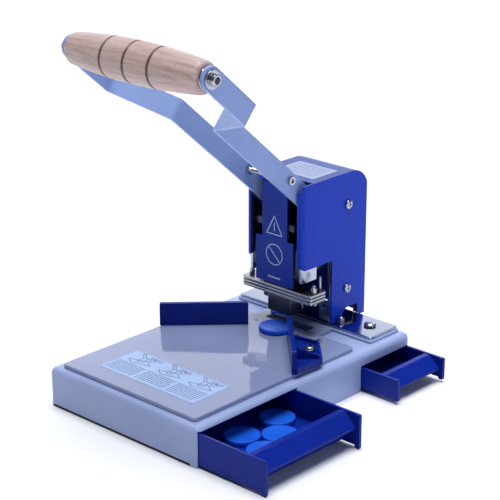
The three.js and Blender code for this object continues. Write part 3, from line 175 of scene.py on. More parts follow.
def soften(piece, width=0.3, segments=3, sharp=35):
    """Rounds a piece's sharp edges by a width in millimetres and shades the rest smooth."""
    piece.data.shade_smooth()
    bevel = piece.modifiers.new("edges", "BEVEL")
    bevel.width = width * MM
    bevel.segments = segments
    bevel.limit_method = "ANGLE"
    bevel.angle_limit = math.radians(sharp)
    bevel.harden_normals = True
    return piece


def finish_as(piece, node_name, material):
    """The piece stands for a CAD node, rides on its body and takes a material."""
    body = frame["nodes"][node_name]["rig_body"]
    piece.data.materials.clear()
    piece.data.materials.append(material)
    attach(piece, body)
    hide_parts(node_name)
    return piece


def colour(code):
    """An sRGB hex colour as linear red, green, blue and alpha."""
    parts = [int(code[i : i + 2], 16) / 255 for i in (1, 3, 5)]
    return [p / 12.92 if p <= 0.04045 else ((p + 0.055) / 1.055) ** 2.4 for p in parts] + [1]


def node(tree, kind, inputs, **settings):
    """Adds a shader node, sets its properties, and fills its inputs with values or links from outputs."""
    made = tree.nodes.new("ShaderNode" + kind)
    for name, value in settings.items():
        setattr(made, name, value)
    for key, value in inputs.items():
        if isinstance(value, bpy.types.NodeSocket):
            tree.links.new(value, made.inputs[key])
        else:
            made.inputs[key].default_value = value
    return made


def new_material(name):
    """An empty principled material: itself, its tree, its shader and its object coordinates."""
    material = bpy.data.materials.new(name)
    material.use_nodes = True
    tree = material.node_tree
    shader = tree.nodes["Principled BSDF"]
    place = node(tree, "TexCoord", {}).outputs["Object"]
    return material, tree, shader, place


def lay_on(tree, shader, tones=None, gloss=None, relief=None):
    """Colours, dulls and raises a surface by patterns. Tones are a pattern and the two colours that it
    runs between, gloss is a pattern with its two ends and the roughness at each, and relief is a
    pattern with its height in millimetres and its strength."""
    if tones:
        pattern, first, second = tones
        tint = node(tree, "Mix", {0: pattern, 6: colour(first), 7: colour(second)}, data_type="RGBA")
        tree.links.new(tint.outputs[2], shader.inputs["Base Color"])
    if gloss:
        pattern, *ends = gloss
        spread = node(tree, "MapRange", {0: pattern, **dict(enumerate(ends, 1))})
        tree.links.new(spread.outputs[0], shader.inputs["Roughness"])
    if relief:
        pattern, height, strength = relief
        lump = node(tree, "Bump", {"Height": pattern, "Distance": height * MM, "Strength": strength})
        tree.links.new(lump.outputs[0], shader.inputs["Normal"])


def powder_coat(name, main, worn, roughness, shine=0.3, peel=0.9, peel_height=0.02, handled=0.1):
    """Baked powder paint: an even colour that varies a little with film thickness, a fine orange peel
    (its grain in millimetres, drawn a little coarser than the real 0.5 mm so that it shows), and a gloss
    that is duller where hands and paper have rubbed it."""
    material, tree, shader, place = new_material(name)
    film = node(tree, "TexNoise", {"Vector": place, "Scale": 1 / (45 * MM), "Detail": 5.0}).outputs["Fac"]
    share = node(tree, "MapRange", {0: film, 1: 0.35, 2: 0.7, 3: 0.0, 4: 1.0})
    rubbed = node(tree, "TexNoise", {"Vector": place, "Scale": 1 / (14 * MM), "Detail": 6.0}).outputs["Fac"]
    grain = node(tree, "TexNoise", {"Vector": place, "Scale": 1 / (peel * MM), "Detail": 2.0}).outputs["Fac"]
    tones = (share.outputs[0], main, worn)
    gloss = (rubbed, 0.3, 0.75, roughness, roughness + handled)
    lay_on(tree, shader, tones, gloss, (grain, peel_height, 0.6))
    shader.inputs["Specular IOR Level"].default_value = shine
    return material


PALE_COAT = powder_coat("pale_blue_grey_powder_coat", "#a0b0da", "#97a8d4", 0.3)
base_low, base_high = in_mm("base_shell")
base_x = (base_low.x, base_high.x)
base_y = (base_low.y, base_high.y)
inner_x = (base_low.x + SHEET, base_high.x - SHEET)
inner_y = (base_low.y + SHEET, base_high.y - SHEET)
plan = rectangle(base_x, base_y, BASE_CORNER, 10)
shell = slab("coated_base_shell", plan, (0, base_high.z), BASE_EDGE, 8)
inner_plan = rectangle(inner_x, inner_y, BASE_CORNER - SHEET, 10)
cuts = [slab("hollow", inner_plan, (-PAST, base_high.z - SHEET), BASE_EDGE - SHEET, 8)]
for drawer in ("large_drawer", "small_drawer"):
    low, high = in_mm(drawer)
    bay_y = (max(low.y - SIDE_PLAY, inner_y[0]), min(high.y + SIDE_PLAY, inner_y[1]))
    cuts.append(block((base_high.x - 3 * SHEET, FAR), bay_y, (-PAST, high.z + BAY_HEADROOM)))
pad_low, pad_high = in_mm("base_pad")
notch_x = (pad_low.x - GAP, pad_high.x + GAP)
cuts.append(block(notch_x, (-FAR, inner_y[0] + PAST), (-PAST, pad_high.z + GAP)))


def waste_slot():
    """The cutter of the slot that drops cuttings through the table into the base."""
    return prism("slot", rectangle(*SLOT, SLOT_CORNER), "z", (20, 60))


cuts.append(waste_slot())
soften(combine(shell, "DIFFERENCE", cuts), 0.25, 2, 40)
finish_as(shell, "base_shell", PALE_COAT)

# ------ anti-slip pad, dividers and stops
# A sheet of black rubber lies under the shell, and the drawers run between folded strips of the same
# coated steel. They are plain pressed pieces with edges broken by tumbling.


def restyled(node_name, name, material, width=0.3, segments=2):
    """Finishes a CAD node in its own shape, with flat faces in one piece and rounded edges."""
    work = bmesh.new()
    work.from_mesh(frame["nodes"][node_name].data)
    bmesh.ops.remove_doubles(work, verts=work.verts, dist=1e-6)
    bmesh.ops.dissolve_limit(work, angle_limit=math.radians(1), verts=work.verts, edges=work.edges)
    finish_as(soften(piece_from(name, work), width, segments), node_name, material)


def rubber(name):
    """Calendered rubber sheet: matt black with a fine pebbled face, about 1.5 mm from pebble to pebble."""
    material, tree, shader, place = new_material(name)
    pebbles = node(tree, "TexVoronoi", {"Vector": place, "Scale": 1 / (1.5 * MM)}).outputs["Distance"]
    lay_on(tree, shader, (pebbles, "#15161a", "#24262c"), None, (pebbles, 0.15, 1.0))
    shader.inputs["Roughness"].default_value = 0.75
    return material


RUBBER = rubber("black_pebbled_rubber")
restyled("base_pad", "rubber_pad", RUBBER, 0.4)
for part in ("drawer_divider_front", "drawer_divider_rear", "large_drawer_stop", "small_drawer_stop"):
    restyled(part, "coated_" + part, PALE_COAT)

# ------ work table
# The table is a 3.2 mm steel plate stove-enamelled in a greyer blue and polished, so that the fences
# mirror in it. Its tongue runs back under the punch head, where the waste slot drops cuttings.
TABLE_CORNER = 3
TABLE_EDGE = 0.8
NECK_HALF = 36
TABLE_REAR = 65
GAUGE_HOLES = ((-24, 53), (24, 53))
GAUGE_HOLE_RADIUS = 1.3


def enamel(name, main, cloud_tone, shine):
    """Polished stove enamel: glassy, with long shallow waves left by flow and hair-fine wipe marks
    in its gloss (about 1 mm wide, drawn coarser than real)."""
    material, tree, shader, place = new_material(name)
    cloud = node(tree, "TexNoise", {"Vector": place, "Scale": 1 / (60 * MM), "Detail": 3.0}).outputs["Fac"]
    stretch = node(tree, "Mapping", {"Vector": place, "Scale": (1, 14, 1), "Rotation": (0, 0, 0.5)})
    wipes = {"Vector": stretch.outputs[0], "Scale": 1 / (14 * MM), "Detail": 6.0, "Roughness": 0.7}
    wiped = node(tree, "TexNoise", wipes).outputs["Fac"]
    flow = node(tree, "TexNoise", {"Vector": place, "Scale": 1 / (9 * MM), "Detail": 1.0}).outputs["Fac"]
    gloss = (wiped, 0.4, 0.75, 0.03, 0.09)
    lay_on(tree, shader, (cloud, main, cloud_tone), gloss, (flow, 0.012, 0.5))
    shader.inputs["Specular IOR Level"].default_value = shine
    return material


ENAMEL = enamel("polished_blue_grey_enamel", "#838fb6", "#8a96bb", 0.5)
table_low, table_high = in_mm("work_table")
table_outline = outline([
    (table_low.x, table_low.y, TABLE_CORNER),
    (table_high.x, table_low.y, TABLE_CORNER),
    (table_high.x, TABLE_REAR, TABLE_CORNER),
    (NECK_HALF, TABLE_REAR, TABLE_CORNER),
    (NECK_HALF, table_high.y, 1),
    (-NECK_HALF, table_high.y, 1),
    (-NECK_HALF, TABLE_REAR, TABLE_CORNER),
    (table_low.x, TABLE_REAR, TABLE_CORNER),
])
table = slab("enamelled_table", table_outline, (table_low.z, table_high.z), TABLE_EDGE, 5)


def turned(name, profile, sides=64):
    """A lathe profile of radius and height pairs in millimetres, turned round Z; it starts and ends on
    the axis, or else closes on itself."""
    work = bmesh.new()
    rings = []
    for radius, height in profile:
        turns = [2 * math.pi * i / sides for i in range(sides)] if radius > 0 else [0]
        places = [Vector((radius * math.cos(a), radius * math.sin(a), height)) * MM for a in turns]
        rings.append([work.verts.new(p) for p in places])
    closes = profile[0][0] > 0
    for a, b in zip(rings, rings[1:] + (rings[:1] if closes else [])):
        for i in range(sides):
            corners = [a[i % len(a)], a[(i + 1) % len(a)], b[(i + 1) % len(b)], b[i % len(b)]]
            distinct = list(dict.fromkeys(corners))
            if len(distinct) > 2:
                work.faces.new(distinct)
    return piece_from(name, work)


def aim(piece, direction, place):
    """Turns a piece made along Z to point in a direction and moves it to a place in millimetres."""
    turn = Vector(direction).to_track_quat("Z", "Y").to_matrix().to_4x4()
    piece.data.transform(Matrix.Translation(Vector(place) * MM) @ turn)
    return piece


def rod(radius, direction, place, length, sides=48):
    """A plain rod from a place along a direction, used to cut with or to join."""
    profile = [(0, 0), (radius, 0), (radius, length), (0, length)]
    return aim(turned("rod", profile, sides), direction, place)


holes = [rod(GAUGE_HOLE_RADIUS, (0, 0, 1), (x, y, 25), 20) for x, y in GAUGE_HOLES]
soften(combine(table, "DIFFERENCE", [waste_slot(), *holes]), 0.15, 2, 50)
finish_as(table, "work_table", ENAMEL)

# ------ riser and bed plate
# Behind the table a coated riser carries the bed: a ground and polished steel plate that mirrors the
# column. Its grinding marks run along its length.
RISER_EDGE = 0.8
BED_EDGE = 0.4
BED_CORNER = 2
RISER_CORNER = 3.6


def steel(name, main, tone, roughness, grain_mm, grain_depth, along=(1, 30, 30), smudge=0.12):
    """Bare or plated steel: a metal whose fine grinding or drawing lines run along one axis (a grain of
    about 0.3 mm, drawn coarser where it has to show) with duller smudges in its polish."""
    material, tree, shader, place = new_material(name)
    shader.inputs["Metallic"].default_value = 1.0
    stretch = node(tree, "Mapping", {"Vector": place, "Scale": along})
    scale = 1 / (grain_mm * 30 * MM)
    lines = {"Vector": stretch.outputs[0], "Scale": scale, "Detail": 8.0, "Roughness": 0.65}
    grain = node(tree, "TexNoise", lines).outputs["Fac"]
    touched = node(tree, "TexNoise", {"Vector": place, "Scale": 1 / (8 * MM), "Detail": 5.0}).outputs["Fac"]
    gloss = (touched, 0.3, 0.75, roughness, roughness + smudge)
    lay_on(tree, shader, (grain, main, tone), gloss, (grain, grain_depth, 0.5))
    return material


POLISHED_STEEL = steel("ground_and_polished_steel", "#a4abbf", "#929ab0", 0.09, 0.5, 0.01)
NICKEL = steel("nickel_plated_steel", "#c9cbd2", "#a5a7b0", 0.2, 0.35, 0.02)
for part, name, edge, corner, finish, slot in (
    ("bed_riser", "coated_riser", RISER_EDGE, RISER_CORNER, PALE_COAT, "pale_paint"),
    ("bed_plate", "polished_bed_plate", BED_EDGE, BED_CORNER, POLISHED_STEEL, "polished_steel"),
):
    low, high = in_mm(part)
    plan = rectangle((low.x, high.x), (low.y, high.y), corner)
    plate = slab(name, plan, (low.z, high.z), edge, 4)
    finish_as(soften(plate, 0.15, 2, 50), part, finish)

# ------ bed screws, table screws and cap nuts
# Nickel-plated machine screws with domed heads and cross recesses hold the bed and the table, and two
# domed cap nuts stand beside the column's foot.
SCREWS = (("bed_screw_", 5.2, 2.5), ("table_screw_", 3, 1.5))  # the radii of head and shank
HEAD_RISE = 0.55  # a head's height as a share of its radius
HEAD_WALL = 0.4  # shares of a head's height
CROSS_DEPTH = 0.62
CROSS_WIDTH = 0.2  # shares of a head's radius
CROSS_REACH = 0.62
CAP_NUT_RADIUS = 3.3
CAP_NUT_SHANK = 1.9
CAP_NUT_DOME = CAP_NUT_RADIUS * 0.82


def cross_screw(name, head, shank, length):
    """A pan head screw standing on Z = 0 with a cross recess, its shank hanging below."""
    height = head * HEAD_RISE
    profile = [(0, -length), (shank, -length), (shank, 0), (head * 0.97, 0)]
    profile += [(head, height * 0.12), (head, height * HEAD_WALL)]
    for i in range(1, 8):
        turn = i / 7 * math.pi / 2
        radius = head * math.cos(turn) ** 0.75 if i < 7 else 0
        profile.append((radius, height * (HEAD_WALL + (1 - HEAD_WALL) * math.sin(turn))))
    screw = turned(name, profile, 40)
    width = (-head * CROSS_WIDTH / 2, head * CROSS_WIDTH / 2)
    reach = (-head * CROSS_REACH, head * CROSS_REACH)
    depth = (height * (1 - CROSS_DEPTH), height + PAST)
    cross = [block(width, reach, depth), block(reach, width, depth)]
    return soften(combine(screw, "DIFFERENCE", cross), 0.12, 2, 40)


def upright_middle(node_name):
    """The middle of an upright CAD node in plan, in millimetres, with its lowest and highest points."""
    low, high = in_mm(node_name)
    return (low.x + high.x) / 2, (low.y + high.y) / 2, low.z, high.z


def hexagon(radius, x=0, y=0):
    """The outline of a nut or a socket."""
    turns = [i * math.pi / 3 for i in range(6)]
    return [Vector((x + radius * math.cos(turn), y + radius * math.sin(turn))) for turn in turns]


bed_top = in_mm("bed_plate")[1].z + GAP
for side in ("left", "right"):
    for part, head, shank in SCREWS:
        x, y, bottom, top = upright_middle(part + side)
        seat = top - head * HEAD_RISE
        screw = cross_screw("plated_" + part + side, head, shank, seat - bottom)
        finish_as(aim(screw, (0, 0, 1), (x, y, seat)), part + side, NICKEL)
    part = "cap_screw_" + side
    x, y, bottom, top = upright_middle(part)
    nut_top = (bed_top + top) / 2
    nut = prism("domed_cap_nut_" + side, hexagon(CAP_NUT_RADIUS, x, y), "z", (bed_top, nut_top))
    profile = [(0, bottom), (CAP_NUT_SHANK, bottom), (CAP_NUT_SHANK, bed_top)]
    profile += [(CAP_NUT_DOME, bed_top), (CAP_NUT_DOME, nut_top - 0.2)]
    for turn in (i * math.pi / 12 for i in range(6)):
        profile.append((CAP_NUT_DOME * math.cos(turn), nut_top + (top - nut_top) * math.sin(turn)))
    dome = turned("dome", [*profile, (0, top)], 40)
    dome.data.transform(Matrix.Translation(Vector((x, y, 0)) * MM))
    soften(combine(nut, "UNION", [dome]), 0.2, 2, 30)
    finish_as(nut, part, NICKEL)

# ------ paper fences
# Two moulded plastic fences stand at right angles and centre a paper corner under the blade. Each is a
# wall on a ribbed foot, held by one large washer-faced screw. Moulding leaves an eggshell gloss.
SIDES = ((1, "right"), (-1, "left"))
FENCE_APEX = (0, 63)
FENCE_START = 22 * math.sqrt(2)
FENCE_WALL = 3.6
FENCE_HEIGHT = 20
FENCE_CORNER = 1.6
FENCE_FOOT = 2.2
FENCE_RIM = 2.4
FENCE_RIM_HEIGHT = 5
FENCE_REACH = 26
FENCE_FOOT_END = 4.5
FENCE_TAPER = 20
FENCE_RIB = (48, 50, 14)  # its two sides along the fence, and its height
FENCE_SCREW = (33, 17)  # along the fence and behind it
FENCE_SCREW_HEAD = 3.6
FENCE_WASHER = 4.8
FENCE_SEAT = 5.2


def moulded_plastic(name, main, tone, roughness, shine, grain=0.7, grain_height=0.015):
    """Injection-moulded plastic: colour right through, faint flow clouds, and the fine spark-eroded
    texture of the mould (0.3 mm in life, drawn at twice that) in its eggshell gloss."""
    material, tree, shader, place = new_material(name)
    flow = node(tree, "TexNoise", {"Vector": place, "Scale": 1 / (22 * MM), "Detail": 4.0}).outputs["Fac"]
    share = node(tree, "MapRange", {0: flow, 1: 0.3, 2: 0.75, 3: 0.0, 4: 1.0})
    pits = {"Vector": place, "Scale": 1 / (grain * MM), "Detail": 3.0}
    spark = node(tree, "TexNoise", pits).outputs["Fac"]
    gloss = (spark, 0.3, 0.7, roughness, roughness + 0.1)
    lay_on(tree, shader, (share.outputs[0], main, tone), gloss, (spark, grain_height, 0.6))
    shader.inputs["Specular IOR Level"].default_value = shine
    return material


FENCE_PLASTIC = moulded_plastic("navy_moulded_fence_plastic", "#0f2a8c", "#0d247e", 0.3, 0.15)
table_top = in_mm("work_table")[1].z + GAP


def on_side(side, a, b):
    """Two distances in rising order, on one side of the middle."""
    return tuple(sorted((side * a, side * b)))


def fence_foot(side, end, inset):
    """The outline of a fence's foot, or of the pocket between its rims."""
    return outline([
        (side * (FENCE_START + 2 * inset), inset),
        (side * (end - inset), inset),
        (side * (end - inset), FENCE_FOOT_END),
        (side * (end - FENCE_TAPER), FENCE_REACH - inset, FENCE_CORNER),
        (side * (FENCE_START + FENCE_TAPER), FENCE_REACH - inset, FENCE_CORNER),
    ])


for side, word in SIDES:
    end = (FENCE_APEX[1] - in_mm("fence_" + word)[0].y) * math.sqrt(2)
    face = rectangle(on_side(side, FENCE_START, end), (0, FENCE_HEIGHT), FENCE_CORNER)
    foot = prism("moulded_fence_" + word, fence_foot(side, end, 0), "z", (0, FENCE_RIM_HEIGHT))
    pocket = prism("pocket", fence_foot(side, end, FENCE_RIM), "z", (FENCE_FOOT, FENCE_HEIGHT))
    combine(foot, "DIFFERENCE", [pocket])
    rib_profile = outline([
        (FENCE_WALL / 2, FENCE_FOOT / 2),
        (FENCE_REACH - FENCE_RIM / 2, FENCE_FOOT / 2),
        (FENCE_REACH - FENCE_RIM / 2, FENCE_RIM_HEIGHT - 0.5),
        (FENCE_WALL / 2, FENCE_RIB[2]),
    ])
    rib_x = on_side(side, FENCE_START + FENCE_RIB[0], FENCE_START + FENCE_RIB[1])
    seat_at = (side * (FENCE_START + FENCE_SCREW[0]), FENCE_SCREW[1], FENCE_FOOT / 2)
    combine(foot, "UNION", [
        prism("fence", face, "y", (0, FENCE_WALL)),
        prism("rib", rib_profile, "x", rib_x),
        rod(FENCE_SEAT, (0, 0, 1), seat_at, FENCE_FOOT / 2 + 1),
    ])
    soften(foot, 0.45, 3, 40)
    apex = Matrix.Translation(Vector((*FENCE_APEX, table_top)) * MM)
    foot.data.transform(apex @ Matrix.Rotation(-side * math.pi / 4, 4, "Z"))
    finish_as(foot, "fence_" + word, FENCE_PLASTIC)

    part = "fence_screw_" + word
    x, y, bottom, top = upright_middle(part)
    seat = top - FENCE_SCREW_HEAD * HEAD_RISE
    screw = cross_screw("plated_" + part, FENCE_SCREW_HEAD, 2, seat - bottom)
    bevelled = FENCE_WASHER - 0.2
    washer = [(0, -1.2), (bevelled, -1.2), (FENCE_WASHER, -1), (FENCE_WASHER, -0.2), (bevelled, 0), (0, 0)]
    combine(screw, "UNION", [turned("washer", washer)])
    soften(aim(screw, (0, 0, 1), (x, y, seat)), 0.12, 2, 40)
    finish_as(screw, part, NICKEL)

# ------ cutting mats
# Round mats of tough bright blue plastic: one lies under the blade and is turned as it wears, and four
# spares lie in the large drawer. They are punched from sheet and tumbled, with a slightly waxy gloss.
MAT_PLASTIC = moulded_plastic("bright_blue_cutting_mat_plastic", "#2369ea", "#1a5adc", 0.3, 0.12, 0.9, 0.01)
MAT_EDGE = 0.9
MAT_RIM = 2.2
MAT_DISH = 0.15
quarter = [i * math.pi / 10 for i in range(6)]
for part in ("cutting_mat", "spare_mat_1", "spare_mat_2", "spare_mat_3", "spare_mat_4"):
    low, high = in_mm(part)
    radius = (high.x - low.x) / 2
    thick = high.z - low.z
    flat = radius - MAT_EDGE
    profile = [(0, 0), (flat, 0)]
    profile += [(flat + MAT_EDGE * math.sin(t), MAT_EDGE - MAT_EDGE * math.cos(t)) for t in quarter[1:]]
    profile += [(flat + MAT_EDGE * math.cos(t), thick - MAT_EDGE + MAT_EDGE * math.sin(t)) for t in quarter]
    profile += [(radius - MAT_RIM, thick), (radius - MAT_RIM - 0.3, thick - MAT_DISH), (0, thick - MAT_DISH)]
    mat = turned("tumbled_" + part, profile, 96)
    mat.data.shade_smooth()
    mat.data.set_sharp_from_angle(angle=math.radians(50))
    aim(mat, (0, 0, 1), ((low.x + high.x) / 2, (low.y + high.y) / 2, low.z))
    finish_as(mat, part, MAT_PLASTIC)

# ------ drawers
# Two moulded navy drawers slide out of the right side. Each front is a deep finger recess under a
# sloping lip, and the side walls end in proud ears that reach below the drawer's floor.
DRAWER_PLASTIC = moulded_plastic("navy_moulded_drawer_plastic", "#0f2a94", "#0d2586", 0.28, 0.12)
WALL = 2.2
DRAWER_FLOOR = 2
EAR_DEPTH = 4.5
EAR_THICKNESS = 2.8
EAR_RADIUS = 1.4
RIM_DEPTH = 5
RECESS_DEPTH = 14.5
LIP_SETBACK = 3.5
LIP_HEIGHT = 2.2
for part, ear_drop, runner, lip_drop in (("large_drawer", 1.9, 2.7, 10), ("small_drawer", 1.4, 1, 8.4)):
    low, high = in_mm(part)
    out = high.x
    floor = low.z + ear_drop
    rim_top = high.z - 0.4
    rim_front = out - RECESS_DEPTH - 0.5
    lip_top = rim_top - lip_drop
    front = outline([
        (rim_front - RIM_DEPTH, rim_top, 0.5),
        (rim_front - RIM_DEPTH, rim_top - WALL),
        (out - RECESS_DEPTH - WALL, rim_top - WALL - 0.8),
        (out - RECESS_DEPTH - WALL, floor + runner),
        (out - RECESS_DEPTH, floor + runner),
        (out - RECESS_DEPTH, rim_top - 1.6 * WALL, 1),
        (out - LIP_SETBACK - WALL, lip_top - LIP_HEIGHT, 0.4),
        (out - LIP_SETBACK, lip_top - LIP_HEIGHT, 0.6),
        (out - LIP_SETBACK, lip_top, 0.8),
        (rim_front, rim_top, 1.5),
    ])
    side_wall = outline([
        (low.x, floor, 1),
        (out - EAR_DEPTH, floor),
        (out - EAR_DEPTH, low.z, EAR_RADIUS),
        (out, low.z, EAR_RADIUS),
        (out, high.z, 1),
        (low.x, high.z, 1),
    ])
    ear = rectangle((out - EAR_DEPTH, out), (low.z, high.z), 1)
    inside_y = (low.y + WALL / 2, high.y - WALL / 2)
    floor_z = (floor + runner, floor + runner + DRAWER_FLOOR)
    drawer = prism("moulded_" + part, front, "y", inside_y)
    walls = [
        prism("side", side_wall, "y", (low.y, low.y + WALL)),
        prism("side", side_wall, "y", (high.y - WALL, high.y)),
        prism("ear", ear, "y", (low.y, low.y + EAR_THICKNESS)),
        prism("ear", ear, "y", (high.y - EAR_THICKNESS, high.y)),
        block((low.x + 0.5, out - RECESS_DEPTH - 0.5), inside_y, floor_z),
        block((low.x, low.x + WALL), inside_y, (floor_z[0], high.z)),
    ]
    soften(combine(drawer, "UNION", walls), 0.35, 3, 30)
    finish_as(drawer, part, DRAWER_PLASTIC)

# ------ column frame
# Two zinc-plated frame plates carry the pivot shaft, a stay and the ram's guide. Only their nose and
# feet show past the cover; the shafts are turned bar, blackened or plated.
DARK_STEEL = steel("blackened_tool_steel", "#4b4e5c", "#30323d", 0.28, 0.4, 0.02)
ZINC = steel("bright_zinc_plated_steel", "#b9c1d6", "#aab3ca", 0.2, 0.5, 0.006, (30, 1, 30), 0.05)
for side in ("left", "right"):
    part = "frame_plate_" + side
    restyled(part, "zinc_plated_" + part, ZINC, 0.4)
for part, finish, slot in (("pivot_shaft", DARK_STEEL, "dark_steel"), ("rear_stay", NICKEL, "plated_steel")):
    low, high = in_mm(part)
    radius = (high.y - low.y) / 2
    length = high.x - low.x
    chamfer = 0.5
    profile = [(0, 0), (radius - chamfer, 0), (radius, chamfer)]
    profile += [(radius, length - chamfer), (radius - chamfer, length), (0, length)]
    middle = (low + high) / 2
    shaft = aim(turned("turned_" + part, profile), (1, 0, 0), (low.x, middle.y, middle.z))
    finish_as(soften(shaft, 0.1, 2, 30), part, finish)
restyled("ram_guide", "milled_ram_guide", DARK_STEEL)

# ------ column cover
# The cover is one folded shell of 1.4 mm steel in a satin royal blue powder coat, open to the front
# between its flanges, slotted on top for the lever's arms, and arched at the foot of each side.
COVER_SHEET = 1.4
COVER_REAR_RADIUS = 21
COVER_FRONT_RADIUS = 5
COVER_TOP_EDGE = 1.6
COVER_FLANGE = 5.2
COVER_WING_BOTTOM = 96
COVER_WING_RADIUS = 6
COVER_LEG_FRONT = 87.5
COVER_REAR_STEP = 125.2
COVER_SLOT_DEPTH = 14.5
COVER_TONGUE_HALF = 16.7
ARCH = (102, 122, 48, 7)  # front, rear and height, and the radius of the front corner
COVER_SCREW_HEAD = 4


def shaded_on_top(material, top_shade):
    """Paints shade on the level faces of a coat: their colour is mixed towards a darker, greyer blue there.
    """
    tree = material.node_tree
    shader = tree.nodes["Principled BSDF"]
    paint = shader.inputs["Base Color"].links[0].from_socket
    faces = node(tree, "NewGeometry", {})
    upright = node(tree, "SeparateXYZ", {0: faces.outputs["True Normal"]})
    level = node(tree, "MapRange", {0: upright.outputs["Z"], 1: 0.6, 2: 0.98, 3: 0.0, 4: 0.85})
    inputs = {0: level.outputs[0], 6: paint, 7: colour(top_shade)}
    top_shaded = node(tree, "Mix", inputs, data_type="RGBA")
    tree.links.new(top_shaded.outputs[2], shader.inputs["Base Color"])


BLUE_COAT = powder_coat("satin_royal_blue_powder_coat", "#123fc6", "#103abc", 0.26, 0.14, 0.8, 0.008, 0.04)
# Painted shade: the cover's top faces are darkened towards a greyer blue.
shaded_on_top(BLUE_COAT, "#1d4388")
cover_low, cover_high = in_mm("column_cover")


def cover_side(inset, drop, steps=16):
    """The cover's outline from the side; the inner one runs past every edge that has no wall."""
    front = cover_low.y + inset
    leg = COVER_LEG_FRONT - (20 if inset else 0)
    rear = cover_high.y - inset
    top = cover_high.z - inset
    return outline([
        (leg, bed_top - drop),
        (COVER_REAR_STEP, bed_top - drop),
        (COVER_REAR_STEP, bed_top - drop - 2),
        (rear, bed_top - drop - 2),
        (rear, top, COVER_REAR_RADIUS - inset),
        (front, top, COVER_TOP_EDGE - inset),
        (front, COVER_WING_BOTTOM - drop, 0 if inset else COVER_WING_RADIUS),
        (leg, COVER_WING_BOTTOM - drop, 0 if inset else 1),
    ], steps)


def cover_plan(inset):
    """The cover's outline from above."""
    x = (cover_low.x + inset, cover_high.x - inset)
    front, rear = cover_low.y + inset, cover_high.y - inset
    return outline([
        (x[0], front, COVER_FRONT_RADIUS - inset),
        (x[1], front, COVER_FRONT_RADIUS - inset),
        (x[1], rear, 2 - inset),
        (x[0], rear, 2 - inset),
    ], 10)


cover = prism("coated_column_cover", cover_side(0, 0), "x", (cover_low.x, cover_high.x))
combine(cover, "INTERSECT", [prism("plan", cover_plan(0), "z", (0, FAR))])
inner_side = cover_side(COVER_SHEET, COVER_WING_BOTTOM)
hollow_x = (cover_low.x + COVER_SHEET, cover_high.x - COVER_SHEET)
hollow = prism("hollow", inner_side, "x", hollow_x)
combine(hollow, "INTERSECT", [prism("plan", cover_plan(COVER_SHEET), "z", (-FAR, FAR))])
mouth = cover_high.x - COVER_FLANGE
arch = outline([(ARCH[0], 0), (ARCH[1], 0), (ARCH[1], ARCH[2], 2), (ARCH[0], ARCH[2], ARCH[3])])
cuts = [
    hollow,
    block((-mouth, mouth), (cover_low.y - PAST, cover_low.y + 4), (0, cover_high.z - COVER_SHEET)),
    prism("arch", arch, "x", (-FAR, FAR)),
]
for side, word in SIDES:
    slot_x = on_side(side, COVER_TONGUE_HALF, cover_high.x - COVER_SHEET)
    slot_y = (cover_low.y - PAST, cover_low.y + COVER_SLOT_DEPTH)
    cuts.append(block(slot_x, slot_y, (cover_high.z - 6, cover_high.z + PAST)))
soften(combine(cover, "DIFFERENCE", cuts), 0.45, 3, 40)
finish_as(cover, "column_cover", BLUE_COAT)
for side, word in SIDES:
    for level in ("lower", "upper"):
        part = f"cover_screw_{word}_{level}"
        low, high = in_mm(part)
        middle = (low + high) / 2
        height = COVER_SCREW_HEAD * HEAD_RISE
        face = side * max(abs(low.x), abs(high.x)) - side * height
        screw = cross_screw("plated_" + part, COVER_SCREW_HEAD, 2, high.x - low.x - height)
        finish_as(aim(screw, (side, 0, 0), (face, middle.y, middle.z)), part, NICKEL)

# ------ return springs
# Two small music-wire springs stand on the guide and lift the ram's yoke after each stroke. They are
# wound wire with ground ends, which in the press shorten as the ram goes down; here each is one rigid
# piece at the length of its CAD node.
SPRING_TURNS = 5
SPRING_WIRE = 0.5
SPRING_STEPS = 24
SPRING_SIDES = 8


def coil(name, node_name):
    """A wire wound round Z inside the box of its CAD node."""
    low, high = in_mm(node_name)
    middle = (low + high) / 2
    radius = (high.x - low.x) / 2 - SPRING_WIRE
    count = SPRING_TURNS * SPRING_STEPS
    rise = high.z - low.z - 2 * SPRING_WIRE
    work = bmesh.new()
    rings = []
    for i in range(count + 1):
        angle = 2 * math.pi * i / SPRING_STEPS
        outward = Vector((math.cos(angle), math.sin(angle), 0))
        centre = Vector((middle.x, middle.y, low.z + SPRING_WIRE + rise * i / count)) + outward * radius
        turns = [2 * math.pi * k / SPRING_SIDES for k in range(SPRING_SIDES)]
        spokes = [outward * math.cos(turn) + Vector((0, 0, math.sin(turn))) for turn in turns]
        rings.append([work.verts.new((centre + spoke * SPRING_WIRE) * MM) for spoke in spokes])
    for a, b in zip(rings, rings[1:]):
        for k in range(SPRING_SIDES):
            work.faces.new((a[k - 1], a[k], b[k], b[k - 1]))
    work.faces.new(rings[0])
    work.faces.new(rings[-1])
    piece = piece_from(name, work)
    piece.data.shade_smooth()
    return piece


for side in ("left", "right"):
    part = "return_spring_" + side
    spring = finish_as(coil("wound_" + part, part), part, NICKEL)
    low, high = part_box(part)
    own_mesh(spring)

